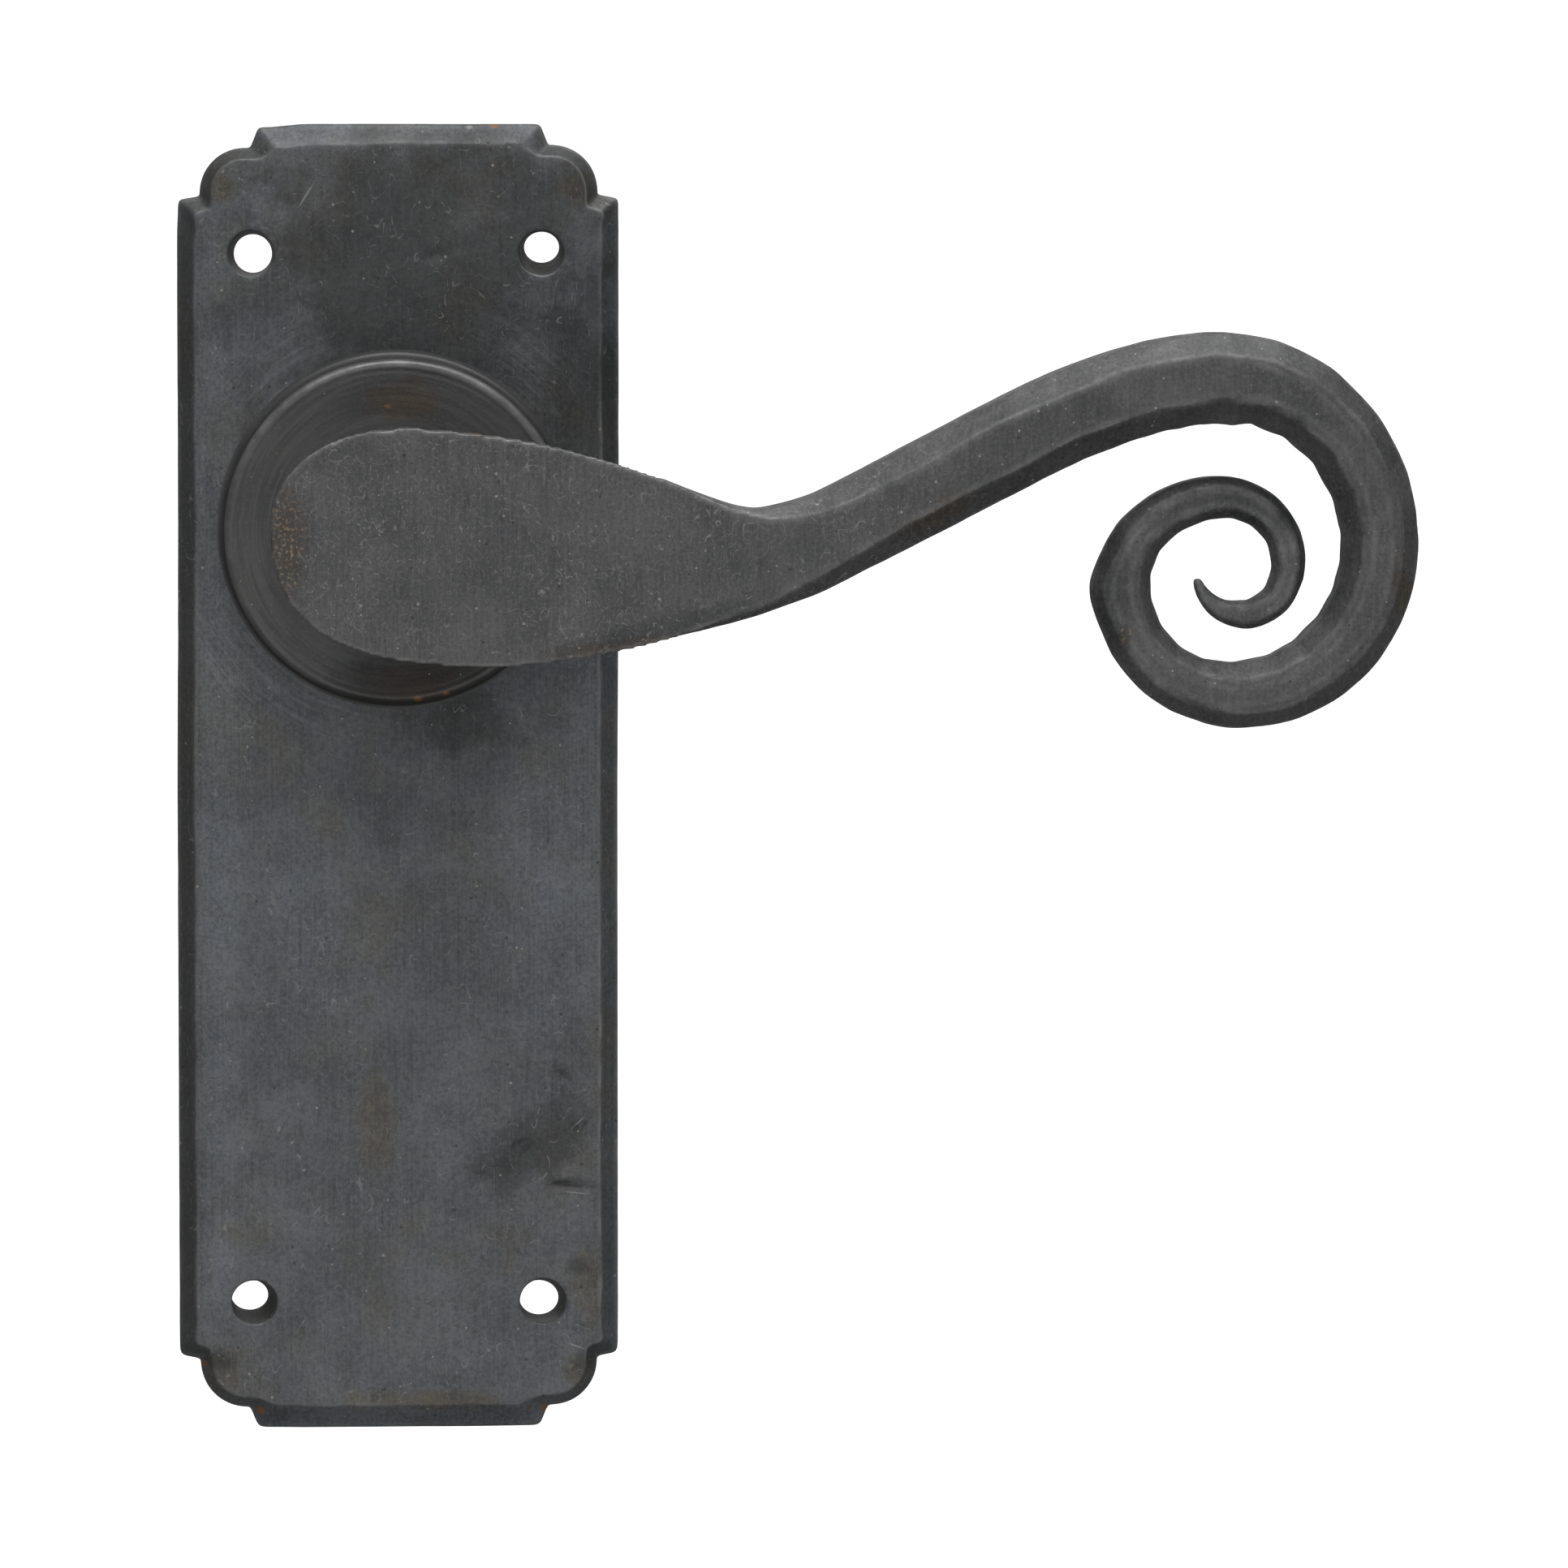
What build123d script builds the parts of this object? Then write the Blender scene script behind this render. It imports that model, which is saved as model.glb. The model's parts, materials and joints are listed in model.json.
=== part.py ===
"""Sprung lever handle on a long backplate, with a scroll-ended forged lever.

The handle's own frame, in millimetres: the spindle axis meets the door face at the origin,
+Y goes into the door, +Z is up and the lever reaches out along +X.

Everything is drawn in bench coordinates, as if the door lay on a bench: x to the right,
y up the plate and z the height above the door face. place() then stands it up.
"""

from build123d import *
import os
from math import asin, cos, degrees, pi, radians, sin

# ------------------------------------------------------------------ backplate
PLATE_WIDTH = 51.2
PLATE_TOP = 46.9
PLATE_BOTTOM = -105.1
PLATE_THICK = 4.0
EDGE_THICK = 1.6
BEVEL_WIDTH = 2.1
STEP_IN = 2.4  # width of the step beside each corner shoulder
STEP_DOWN = 8.6  # where the long side stops below the plate's end
STEP_SLOPE = 0.45
RISE = 0.4  # straight between a step and the round shoulder
SHOULDER_RADIUS = 5.35
TOP_STEP_RUN = 0.95
HOLE_RADIUS = 2.3
HOLE_SPACING_X = 33.6
HOLE_SPACING_Y = 122.0
HOLE_EDGE_BREAK = 0.45
PLATE_MIDDLE = (PLATE_TOP + PLATE_BOTTOM) / 2

# --------------------------------------------------- boss collar and rear cover
COLLAR_RADIUS = 19.8
COLLAR_FRONT = 14.0
COLLAR_EDGE_FILLET = 0.9
COVE_OVERLAP = 1.0  # how far the foot's cove runs into the drum
FOOT_RADIUS = 21.3
FOOT_HEIGHT = 1.5
SPIGOT_RADIUS = 18.0
CAVITY_RADIUS = 14.7
WALL_BACK = 11.0  # inner face of the collar's front wall
COVER_RADIUS = 20.6
COVER_THICK = 1.2
COVER_PLAY = 0.1  # round the cover in the plate's recess
COVER_SCREW_CIRCLE = 16.35
COVER_SCREW_RADIUS = 1.0
COVER_SCREW_HEAD = 1.9
COVER_SCREW_TIP = 7.0
COVER_SCREW_SLOT = 0.6  # width and depth of the screwdriver slot
KEY_PIN_RADIUS = 1.0
KEY_PIN_SUNK = 0.3  # below the plate's front

# --------------------------------------------------------------- turned neck
JOURNAL_RADIUS = 8.0
RUNNING_GAP = 0.04
NECK_SHOULDER = 15.0
NECK_RADIUS = 9.6
NECK_FLARE_RADIUS = 11.0
NECK_FLARE_HEIGHT = 6.0
TENON_RADIUS = 6.0
TENON_TOP = 46.0
SHANK_BACK = 0.3
HALF_FLATS = 6.8
SOCKET_SIDE = 8.0
SOCKET_TOP = 31.0
GROOVE_RADIUS = 7.3
GRUB_RADIUS = 2.5
GRUB_HEIGHT = 24.0
GRUB_SUNK = 0.6
GRUB_KEY_RADIUS = 1.45
GRUB_KEY_DEPTH = 2.0
BUSH_RADIUS = 9.0
BUSH_FLANGE_RADIUS = 9.9
BUSH_FLANGE_THICK = 1.0
REAR_BUSH_WALL = 1.5

# ------------------------------------------------- parts stacked on the shank
CIRCLIP = (1.4, 2.2)  # back and front height of each part of the stack
SUPPORT_WASHER = (2.2, 2.6)
DISC_SPRING = (2.6, 3.2)
CAM = (3.2, 5.2)
SLEEVE = (5.2, 10.4)
INNER_WASHER = (10.4, 10.95)
FRONT_WASHER = (14.05, NECK_SHOULDER)
WASHER_BORE = JOURNAL_RADIUS + 0.1
FRONT_WASHER_RADIUS = 9.9
INNER_WASHER_RADIUS = 11.2
SLEEVE_RADIUS = 9.6
SUPPORT_WASHER_RADIUS = 9.7
DISC_SPRING_BORE = JOURNAL_RADIUS + 0.2
DISC_SPRING_RADIUS = 9.7
DISC_SPRING_SHEET = 0.35
CIRCLIP_RADIUS = GROOVE_RADIUS + 2.0
CIRCLIP_PLAY = 0.02  # on each face of the clip in its groove
CIRCLIP_GAP_HALF_ANGLE = 14.0
CIRCLIP_LUG_RADIUS = 1.5
CIRCLIP_LUG_HOLE_RADIUS = 0.55
CAM_RADIUS = 9.8
LUG_RADIUS = 14.1
LUG_HALF_ANGLE = 15.0
LUG_ANGLE = 90.0  # at rest, seen from the front
TURN_DOWN = 50.0  # how far the lever turns down from rest
STOP_PIN_RADIUS = 1.0
STOP_PIN_CIRCLE = 10.95
STOP_PIN_TOP = 4.9
STOP_GAP = 0.2

# -------------------------------------------------------------- return spring
WIRE_RADIUS = 0.85
COIL_RADIUS = 13.0
COIL_PITCH = 1.85
COIL_TURNS = 2.0
COIL_BACK = 6.25  # height of the wire's centre at the moving end
LEG_HOLE_DEPTH = 1.5
LEG_HOLE_GAP = 0.15  # round the fixed leg in the collar's wall
LEG_END_GAP = 0.2
LEG_LIFT = 0.3  # of the moving leg's tip above the cam's back face

# -------------------------------------------------------------------- spindle
SPINDLE_SIDE = 7.9
SPINDLE_TOP = 30.0
SPINDLE_REACH = 60.0  # how far it stands out behind the door face
SPINDLE_EDGE_FILLET = 0.6
SPINDLE_END_CHAMFER = 0.45

# --------------------------------------------------------------- forged lever
LEVER_FRONT = 50.0
BLADE_THICK = 8.2
BLADE_BACK = LEVER_FRONT - BLADE_THICK
BLADE_EDGE_CHAMFER = 0.5
SCROLL_MIDDLE = 45.0  # height of the scroll's middle plane
CHAMFER_SHARE = 0.28  # corner chamfer as a share of the bar's thinner side
# Outline of the flat blade, from inside the bar over the top and back under the bar.
BLADE_OUTLINE = [
    (47.0, 1.0),
    (38.5, 3.6),
    (24.4, 8.4),
    (10.4, 11.7),
    (-0.5, 12.3),
    (-9.8, 9.3),
    (-13.7, 1.2),
    (-11.4, -7.0),
    (-2.1, -12.5),
    (10.3, -13.8),
    (24.2, -12.1),
    (38.0, -8.7),
    (47.0, -4.4),
]
# Sections of the bar where it grows out of the blade: x, y, heading, width, depth.
BAR_ROOT = [
    (33.0, -2.6, 0.0, 9.6, 7.6),
    (38.0, -2.5, 6.0, 11.0, 8.1),
    (43.0, -1.65, 19.0, 10.6, 8.8),
    (47.5, -0.1, 25.5, 10.1, 9.4),
]
BAR_START = (51.9, 2.28)
BAR_HEADING = 27.3
BAR_LENGTH = 19.3
BAR_WIDTH = 10.05
DEPTH_BASE = 0.75  # the bar's depth is this much and a share of its width
DEPTH_SHARE = 0.92
# Bends from the bar into the scroll and round it: turn in degrees, radius, width at the end.
SCROLL_BENDS = [
    (9.0, 82.5, 10.0),
    (18.3, 36.8, 10.0),
    (45.0, 16.2, 8.7),
    (45.0, 19.6, 8.2),
    (45.0, 17.2, 8.0),
    (45.0, 15.8, 7.1),
    (45.0, 12.9, 6.2),
    (45.0, 12.0, 5.9),
    (45.0, 8.9, 5.2),
    (45.0, 12.2, 4.5),
    (60.0, 7.5, 3.7),
    (60.0, 6.9, 3.3),
    (60.0, 5.0, 3.0),
    (60.0, 5.2, 1.4),
]
SECTION_TURN = 22.0  # largest turn between two sections of a bend
STRAIGHT_SECTIONS = 4

LEG_PLAY = 0.6  # degrees between the moving leg and the cam's lug
WIRE_HALF_ANGLE = degrees(asin(WIRE_RADIUS / COIL_RADIUS))
LEG_ANGLE = LUG_ANGLE - LUG_HALF_ANGLE - WIRE_HALF_ANGLE - LEG_PLAY
UP = (Align.CENTER, Align.CENTER, Align.MIN)


# -------------------------------------------------------------------- helpers
def disc(radius, low, high):
    """A round solid on the spindle axis between two heights."""
    return Pos(0, 0, low) * Cylinder(radius, high - low, align=UP)


def ring(outer, inner, low, high):
    return disc(outer, low, high) - disc(inner, low, high)


def at_angle(radius, angle):
    """A point on a circle round the spindle axis, the angle in degrees from +x."""
    return radius * cos(radians(angle)), radius * sin(radians(angle))


def revolved(*outline):
    """A closed outline of (radius, height) points turned round the spindle axis."""
    points = [(radius, 0, height) for radius, height in outline]
    return revolve(make_face(Polyline(*points, close=True)), Axis.Z)


def double_flats(radius, half_flats, low, high):
    """A round bar with two flats, as the shank has behind its journal."""
    block = Pos(0, 0, low) * Box(2 * half_flats, 3 * radius, high - low, align=UP)
    return disc(radius, low, high) & block


def bar_section(x, y, heading, width, depth, front):
    """An octagonal section of the forged bar, square to its heading."""
    across = Vector(-sin(radians(heading)), cos(radians(heading)), 0)
    chamfer = CHAMFER_SHARE * min(width, depth)
    half_width = width / 2
    half_depth = depth / 2
    corners = [
        (half_width - chamfer, half_depth),
        (half_width, half_depth - chamfer),
        (half_width, chamfer - half_depth),
        (half_width - chamfer, -half_depth),
        (chamfer - half_width, -half_depth),
        (-half_width, chamfer - half_depth),
        (-half_width, half_depth - chamfer),
        (chamfer - half_width, half_depth),
    ]
    centre = Vector(x, y, front - half_depth)
    points = [centre + across * a + Vector(0, 0, b) for a, b in corners]
    return make_face(Polyline(*points, close=True))


# ------------------------------------------------------------------ backplate
def plate_outline(inset):
    """The plate's outline, drawn in by inset, with a stepped shoulder at each corner."""
    side = PLATE_WIDTH / 2 - inset
    shoulder = SHOULDER_RADIUS - inset
    lines = []
    corners = []
    half_length = (PLATE_TOP - PLATE_BOTTOM) / 2 - inset
    for sign_x, sign_y in ((1, 1), (-1, 1), (-1, -1), (1, -1)):
        step = side - STEP_IN
        low = half_length + inset - STEP_DOWN + STEP_SLOPE - inset
        centre_y = low + RISE + inset
        centre_x = step - shoulder
        top = centre_y + shoulder
        run_end = centre_x - RISE - inset
        points = [
            (side, low - STEP_SLOPE),
            (step, low),
            (step, centre_y),
            (centre_x + shoulder * cos(pi / 4), centre_y + shoulder * sin(pi / 4)),
            (centre_x, top),
            (run_end, top),
            (run_end - TOP_STEP_RUN, half_length),
        ]
        points = [(sign_x * x, PLATE_MIDDLE + sign_y * y) for x, y in points]
        if sign_x * sign_y < 0:
            points.reverse()
        corners.append(points)
    for index, points in enumerate(corners):
        following = corners[(index + 1) % 4]
        lines.append(Line(points[0], points[1]))
        lines.append(Line(points[1], points[2]))
        lines.append(ThreePointArc(points[2], points[3], points[4]))
        lines.append(Line(points[4], points[5]))
        lines.append(Line(points[5], points[6]))
        lines.append(Line(points[6], following[0]))
    return make_face(lines)


def hole_centres():
    for sign_x in (-1, 1):
        for sign_y in (-1, 1):
            yield sign_x * HOLE_SPACING_X / 2, PLATE_MIDDLE + sign_y * HOLE_SPACING_Y / 2


def cover_screw_centres():
    for quarter in range(4):
        yield at_angle(COVER_SCREW_CIRCLE, 45 + 90 * quarter)


def backplate():
    slab = extrude(plate_outline(0), EDGE_THICK)
    foot = Pos(0, 0, EDGE_THICK) * plate_outline(0)
    field = Pos(0, 0, PLATE_THICK) * plate_outline(BEVEL_WIDTH)
    plate = slab + loft([foot, field], ruled=True)
    plate -= disc(COVER_RADIUS, 0, COVER_THICK)
    plate -= disc(SPIGOT_RADIUS, 0, PLATE_THICK)
    for x, y in hole_centres():
        plate -= Pos(x, y, 0) * disc(HOLE_RADIUS, 0, PLATE_THICK)
        flare = Cone(
            HOLE_RADIUS, HOLE_RADIUS + HOLE_EDGE_BREAK, HOLE_EDGE_BREAK, align=UP
        )
        plate -= Pos(x, y, PLATE_THICK - HOLE_EDGE_BREAK) * flare
    return plate - key_pin()


# ------------------------------------------------------- collar and rear cover
def boss_collar():
    drum = disc(COLLAR_RADIUS, PLATE_THICK, COLLAR_FRONT)
    rim = drum.faces().sort_by(Axis.Z)[-1].edges()
    drum = fillet(rim, COLLAR_EDGE_FILLET)
    foot_top = PLATE_THICK + FOOT_HEIGHT
    inside = COLLAR_RADIUS - COVE_OVERLAP
    outer_end = (FOOT_RADIUS, PLATE_THICK)
    upper_end = (COLLAR_RADIUS, foot_top)
    cove = make_face(
        [
            Line((inside, PLATE_THICK), outer_end),
            RadiusArc(outer_end, upper_end, -2 * FOOT_HEIGHT),
            Line(upper_end, (inside, foot_top)),
            Line((inside, foot_top), (inside, PLATE_THICK)),
        ]
    )
    collar = drum + revolve(Rot(90, 0, 0) * cove, Axis.Z)
    collar += disc(SPIGOT_RADIUS, COVER_THICK, PLATE_THICK)
    collar -= disc(CAVITY_RADIUS, COVER_THICK, WALL_BACK)
    collar -= disc(BUSH_RADIUS, WALL_BACK, COLLAR_FRONT)
    collar -= disc(BUSH_FLANGE_RADIUS, COLLAR_FRONT - BUSH_FLANGE_THICK, COLLAR_FRONT)
    x, y = at_angle(COIL_RADIUS, LEG_ANGLE + 360 * COIL_TURNS)
    leg_hole = disc(WIRE_RADIUS + LEG_HOLE_GAP, WALL_BACK, WALL_BACK + LEG_HOLE_DEPTH)
    collar -= Pos(x, y, 0) * leg_hole
    for x, y in cover_screw_centres():
        collar -= Pos(x, y, 0) * disc(COVER_SCREW_RADIUS, COVER_THICK, COVER_SCREW_TIP)
    return collar - key_pin()


def key_pin():
    """Half in the plate and half in the collar, so that the collar can't turn."""
    x, y = at_angle(SPIGOT_RADIUS, 180)
    return Pos(x, y, 0) * disc(KEY_PIN_RADIUS, COVER_THICK, PLATE_THICK - KEY_PIN_SUNK)


def neck_bush():
    bush = disc(BUSH_RADIUS, WALL_BACK, COLLAR_FRONT)
    bush += disc(BUSH_FLANGE_RADIUS, COLLAR_FRONT - BUSH_FLANGE_THICK, COLLAR_FRONT)
    return bush - disc(JOURNAL_RADIUS + RUNNING_GAP, WALL_BACK, COLLAR_FRONT)


def rear_bush():
    outer = JOURNAL_RADIUS + REAR_BUSH_WALL
    return ring(outer, JOURNAL_RADIUS + RUNNING_GAP, 0, COVER_THICK)


def stop_pin_angles():
    half_pin = degrees(asin((STOP_PIN_RADIUS + STOP_GAP) / STOP_PIN_CIRCLE))
    rest_side = LUG_ANGLE + LUG_HALF_ANGLE + half_pin
    down_side = LUG_ANGLE - TURN_DOWN - LUG_HALF_ANGLE - half_pin
    return rest_side, down_side


def stop_pins():
    pins = []
    for angle in stop_pin_angles():
        x, y = at_angle(STOP_PIN_CIRCLE, angle)
        pins.append(Pos(x, y, 0) * disc(STOP_PIN_RADIUS, 0, STOP_PIN_TOP))
    return pins


def rear_cover():
    cover = ring(COVER_RADIUS - COVER_PLAY, JOURNAL_RADIUS + REAR_BUSH_WALL, 0, COVER_THICK)
    for pin in stop_pins():
        cover -= pin
    for screw in cover_screws():
        cover -= screw
    return cover


def cover_screws():
    """Four slotted countersunk screws from behind."""
    screws = []
    head_depth = COVER_SCREW_HEAD - COVER_SCREW_RADIUS
    for x, y in cover_screw_centres():
        head = Cone(COVER_SCREW_HEAD, COVER_SCREW_RADIUS, head_depth, align=UP)
        screw = head + disc(COVER_SCREW_RADIUS, head_depth, COVER_SCREW_TIP)
        screws.append(Pos(x, y, 0) * screw)
    return screws


def slotted(screw):
    """A screwdriver slot cut in the back of a cover screw."""
    centre = screw.bounding_box().center()
    slot = Box(2 * COVER_SCREW_HEAD, COVER_SCREW_SLOT, COVER_SCREW_SLOT, align=UP)
    return screw - Pos(centre.X, centre.Y, 0) * slot


# ---------------------------------------------------------------- turned shank
def neck_shank():
    neck = revolved(
        (0, SHANK_BACK),
        (JOURNAL_RADIUS, SHANK_BACK),
        (JOURNAL_RADIUS, NECK_SHOULDER),
        (NECK_RADIUS, NECK_SHOULDER),
        (NECK_RADIUS, BLADE_BACK - NECK_FLARE_HEIGHT),
        (NECK_FLARE_RADIUS, BLADE_BACK),
        (TENON_RADIUS, BLADE_BACK),
        (TENON_RADIUS, TENON_TOP),
        (0, TENON_TOP),
    )
    back_end = disc(NECK_RADIUS, SHANK_BACK, CAM[1])
    neck -= back_end - double_flats(JOURNAL_RADIUS, HALF_FLATS, SHANK_BACK, CAM[1])
    neck -= ring(JOURNAL_RADIUS + 1, GROOVE_RADIUS, *CIRCLIP)
    neck -= Pos(0, 0, SHANK_BACK) * Box(
        SOCKET_SIDE, SOCKET_SIDE, SOCKET_TOP - SHANK_BACK, align=UP
    )
    return neck - grub_rod(NECK_RADIUS)


def grub_rod(length):
    """A rod as thick as the grub screw, from the spindle towards the neck's underside."""
    upright = Rot(90, 0, 0) * Cylinder(GRUB_RADIUS, length, align=UP)
    return Pos(0, -SPINDLE_SIDE / 2, GRUB_HEIGHT) * upright


def grub_screw():
    """Headless screw that clamps the spindle, with a hexagon socket in its outer end."""
    length = NECK_RADIUS - GRUB_SUNK - SPINDLE_SIDE / 2
    socket = extrude(RegularPolygon(GRUB_KEY_RADIUS, 6), GRUB_KEY_DEPTH)
    outer_end = Pos(0, -SPINDLE_SIDE / 2 - length, GRUB_HEIGHT)
    return grub_rod(length) - outer_end * (Rot(-90, 0, 0) * socket)


def spindle():
    length = SPINDLE_TOP + SPINDLE_REACH
    bar = Pos(0, 0, -SPINDLE_REACH) * Box(SPINDLE_SIDE, SPINDLE_SIDE, length, align=UP)
    bar = fillet(bar.edges().filter_by(Axis.Z), SPINDLE_EDGE_FILLET)
    ends = bar.faces().sort_by(Axis.Z)
    return chamfer(ends[0].edges() + ends[-1].edges(), SPINDLE_END_CHAMFER)


# ------------------------------------------------------ parts round the shank
def washer(radius, heights):
    return ring(radius, WASHER_BORE, *heights)


def disc_spring():
    low, high = DISC_SPRING
    return revolved(
        (DISC_SPRING_BORE, low),
        (DISC_SPRING_RADIUS, high - DISC_SPRING_SHEET),
        (DISC_SPRING_RADIUS, high),
        (DISC_SPRING_BORE, low + DISC_SPRING_SHEET),
    )


def circlip():
    """External retaining ring, open at the bottom, with a lug each side of its gap."""
    low = CIRCLIP[0] + CIRCLIP_PLAY
    high = CIRCLIP[1] - CIRCLIP_PLAY
    clip = ring(CIRCLIP_RADIUS, GROOVE_RADIUS, low, high)
    x, y = at_angle(2 * CIRCLIP_RADIUS, CIRCLIP_GAP_HALF_ANGLE - 90)
    wedge = make_face(Polyline((0, 0), (x, y), (-x, y), close=True))
    clip -= Pos(0, 0, low) * extrude(wedge, high - low)
    lug_circle = CIRCLIP_RADIUS - CIRCLIP_LUG_RADIUS / 3
    lug_angle = degrees(asin(CIRCLIP_LUG_RADIUS / lug_circle)) + CIRCLIP_GAP_HALF_ANGLE
    for sign in (-1, 1):
        x, y = at_angle(lug_circle, sign * lug_angle - 90)
        clip += Pos(x, y, 0) * disc(CIRCLIP_LUG_RADIUS, low, high) - disc(GROOVE_RADIUS, low, high)
        clip -= Pos(x, y, 0) * disc(CIRCLIP_LUG_HOLE_RADIUS, low, high)
    return clip


def drive_cam():
    low, high = CAM
    plate = disc(CAM_RADIUS, low, high)
    reach = 2 * LUG_RADIUS
    edges = [at_angle(reach, LUG_ANGLE + s * LUG_HALF_ANGLE) for s in (-1, 1)]
    sector = extrude(make_face(Polyline((0, 0), *edges, close=True)), high - low)
    plate += (Pos(0, 0, low) * sector) & disc(LUG_RADIUS, low, high)
    gap = RUNNING_GAP
    return plate - double_flats(JOURNAL_RADIUS + gap, HALF_FLATS + gap, low, high)


def return_spring():
    """Torsion spring: one leg in the collar's wall, the other pushing the cam's lug."""
    height = COIL_PITCH * COIL_TURNS
    coil_path = Helix(COIL_PITCH, height, COIL_RADIUS)
    start = Plane(coil_path @ 0, z_dir=coil_path % 0)
    coil = sweep(start * Circle(WIRE_RADIUS), coil_path)
    coil = Pos(0, 0, COIL_BACK) * coil
    moving_leg = Pos(COIL_RADIUS, 0, 0) * disc(WIRE_RADIUS, CAM[0] + LEG_LIFT, COIL_BACK)
    leg_end = WALL_BACK + LEG_HOLE_DEPTH - LEG_END_GAP
    fixed_leg = Pos(COIL_RADIUS, 0, 0) * disc(WIRE_RADIUS, COIL_BACK + height, leg_end)
    spring = coil + moving_leg + fixed_leg
    for elbow in (COIL_BACK, COIL_BACK + height):
        spring += Pos(COIL_RADIUS, 0, elbow) * Sphere(WIRE_RADIUS)
    return Rot(0, 0, LEG_ANGLE) * spring


# ---------------------------------------------------------------- forged lever
def bar_depth(width):
    return DEPTH_BASE + DEPTH_SHARE * width


def bar_stations():
    """Each section of the bar as (x, y, heading, width, depth, front height)."""
    for x, y, heading, width, depth in BAR_ROOT:
        yield x, y, heading, width, depth, LEVER_FRONT
    x, y = BAR_START
    heading = BAR_HEADING
    width = BAR_WIDTH
    depth = bar_depth(width)
    for step in range(STRAIGHT_SECTIONS):
        along = BAR_LENGTH * step / STRAIGHT_SECTIONS
        px = x + along * cos(radians(heading))
        py = y + along * sin(radians(heading))
        yield px, py, heading, width, depth, LEVER_FRONT
    x += BAR_LENGTH * cos(radians(heading))
    y += BAR_LENGTH * sin(radians(heading))
    yield x, y, heading, width, depth, SCROLL_MIDDLE + depth / 2
    for turn, radius, end_width in SCROLL_BENDS:
        centre_x = x + radius * sin(radians(heading))
        centre_y = y - radius * cos(radians(heading))
        steps = int(turn / SECTION_TURN) + 1
        for step in range(1, steps + 1):
            share = step / steps
            now = heading - turn * share
            px = centre_x - radius * sin(radians(now))
            py = centre_y + radius * cos(radians(now))
            now_width = width + (end_width - width) * share
            now_depth = bar_depth(now_width)
            yield px, py, now, now_width, now_depth, SCROLL_MIDDLE + now_depth / 2
        x, y, heading, width = px, py, now, end_width


def blade():
    """The flat oval end that carries the neck."""
    top_point, *middle, bottom_point = BLADE_OUTLINE
    edge = Spline(top_point, *middle, bottom_point)
    face = make_face([edge, Line(bottom_point, top_point)])
    slab = Pos(0, 0, BLADE_BACK) * extrude(face, BLADE_THICK)
    front = slab.faces().sort_by(Axis.Z)[-1]
    return chamfer(front.edges().sort_by(SortBy.LENGTH)[-1], BLADE_EDGE_CHAMFER)


def lever():
    bar = loft([bar_section(*station) for station in bar_stations()])
    forging = blade() + bar
    return forging - disc(TENON_RADIUS, BLADE_BACK - 1, TENON_TOP)


# ---------------------------------------------------------------------- export
def place(shape):
    """Stands a bench shape up against the door: bench z becomes -Y."""
    if isinstance(shape, list):
        return Compound([place(each) for each in shape])
    return Plane.XZ.location * shape


NODES = {
    "backplate": backplate,
    "boss_collar": boss_collar,
    "collar_key_pin": key_pin,
    "neck_bush": neck_bush,
    "rear_cover": rear_cover,
    "cover_screws": lambda: [slotted(screw) for screw in cover_screws()],
    "rear_bush": rear_bush,
    "stop_pins": stop_pins,
    "return_spring": return_spring,
    "lever": lever,
    "neck_shank": neck_shank,
    "grub_screw": grub_screw,
    "spindle": spindle,
    "front_washer": lambda: washer(FRONT_WASHER_RADIUS, FRONT_WASHER),
    "inner_washer": lambda: washer(INNER_WASHER_RADIUS, INNER_WASHER),
    "spacer_sleeve": lambda: washer(SLEEVE_RADIUS, SLEEVE),
    "drive_cam": drive_cam,
    "disc_spring": disc_spring,
    "support_washer": lambda: washer(SUPPORT_WASHER_RADIUS, SUPPORT_WASHER),
    "circlip": circlip,
}


def main():
    os.makedirs("parts", exist_ok=True)
    for name, build in NODES.items():
        export_step(place(build()), f"parts/{name}.step")


main()
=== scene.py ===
"""Looks of a forged door lever handle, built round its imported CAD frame.

Shapes are drawn in millimetres and in bench coordinates, as if the door lay on a bench:
x to the right, y up the plate, and the height above the door face. to_row() stands them up
in the frame's own axes, in metres.
"""

import json
from math import ceil, cos, exp, hypot, pi, radians, sin, sqrt

import bpy
import numpy as np
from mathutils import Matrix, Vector, kdtree, noise
from mathutils.geometry import delaunay_2d_cdt


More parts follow.
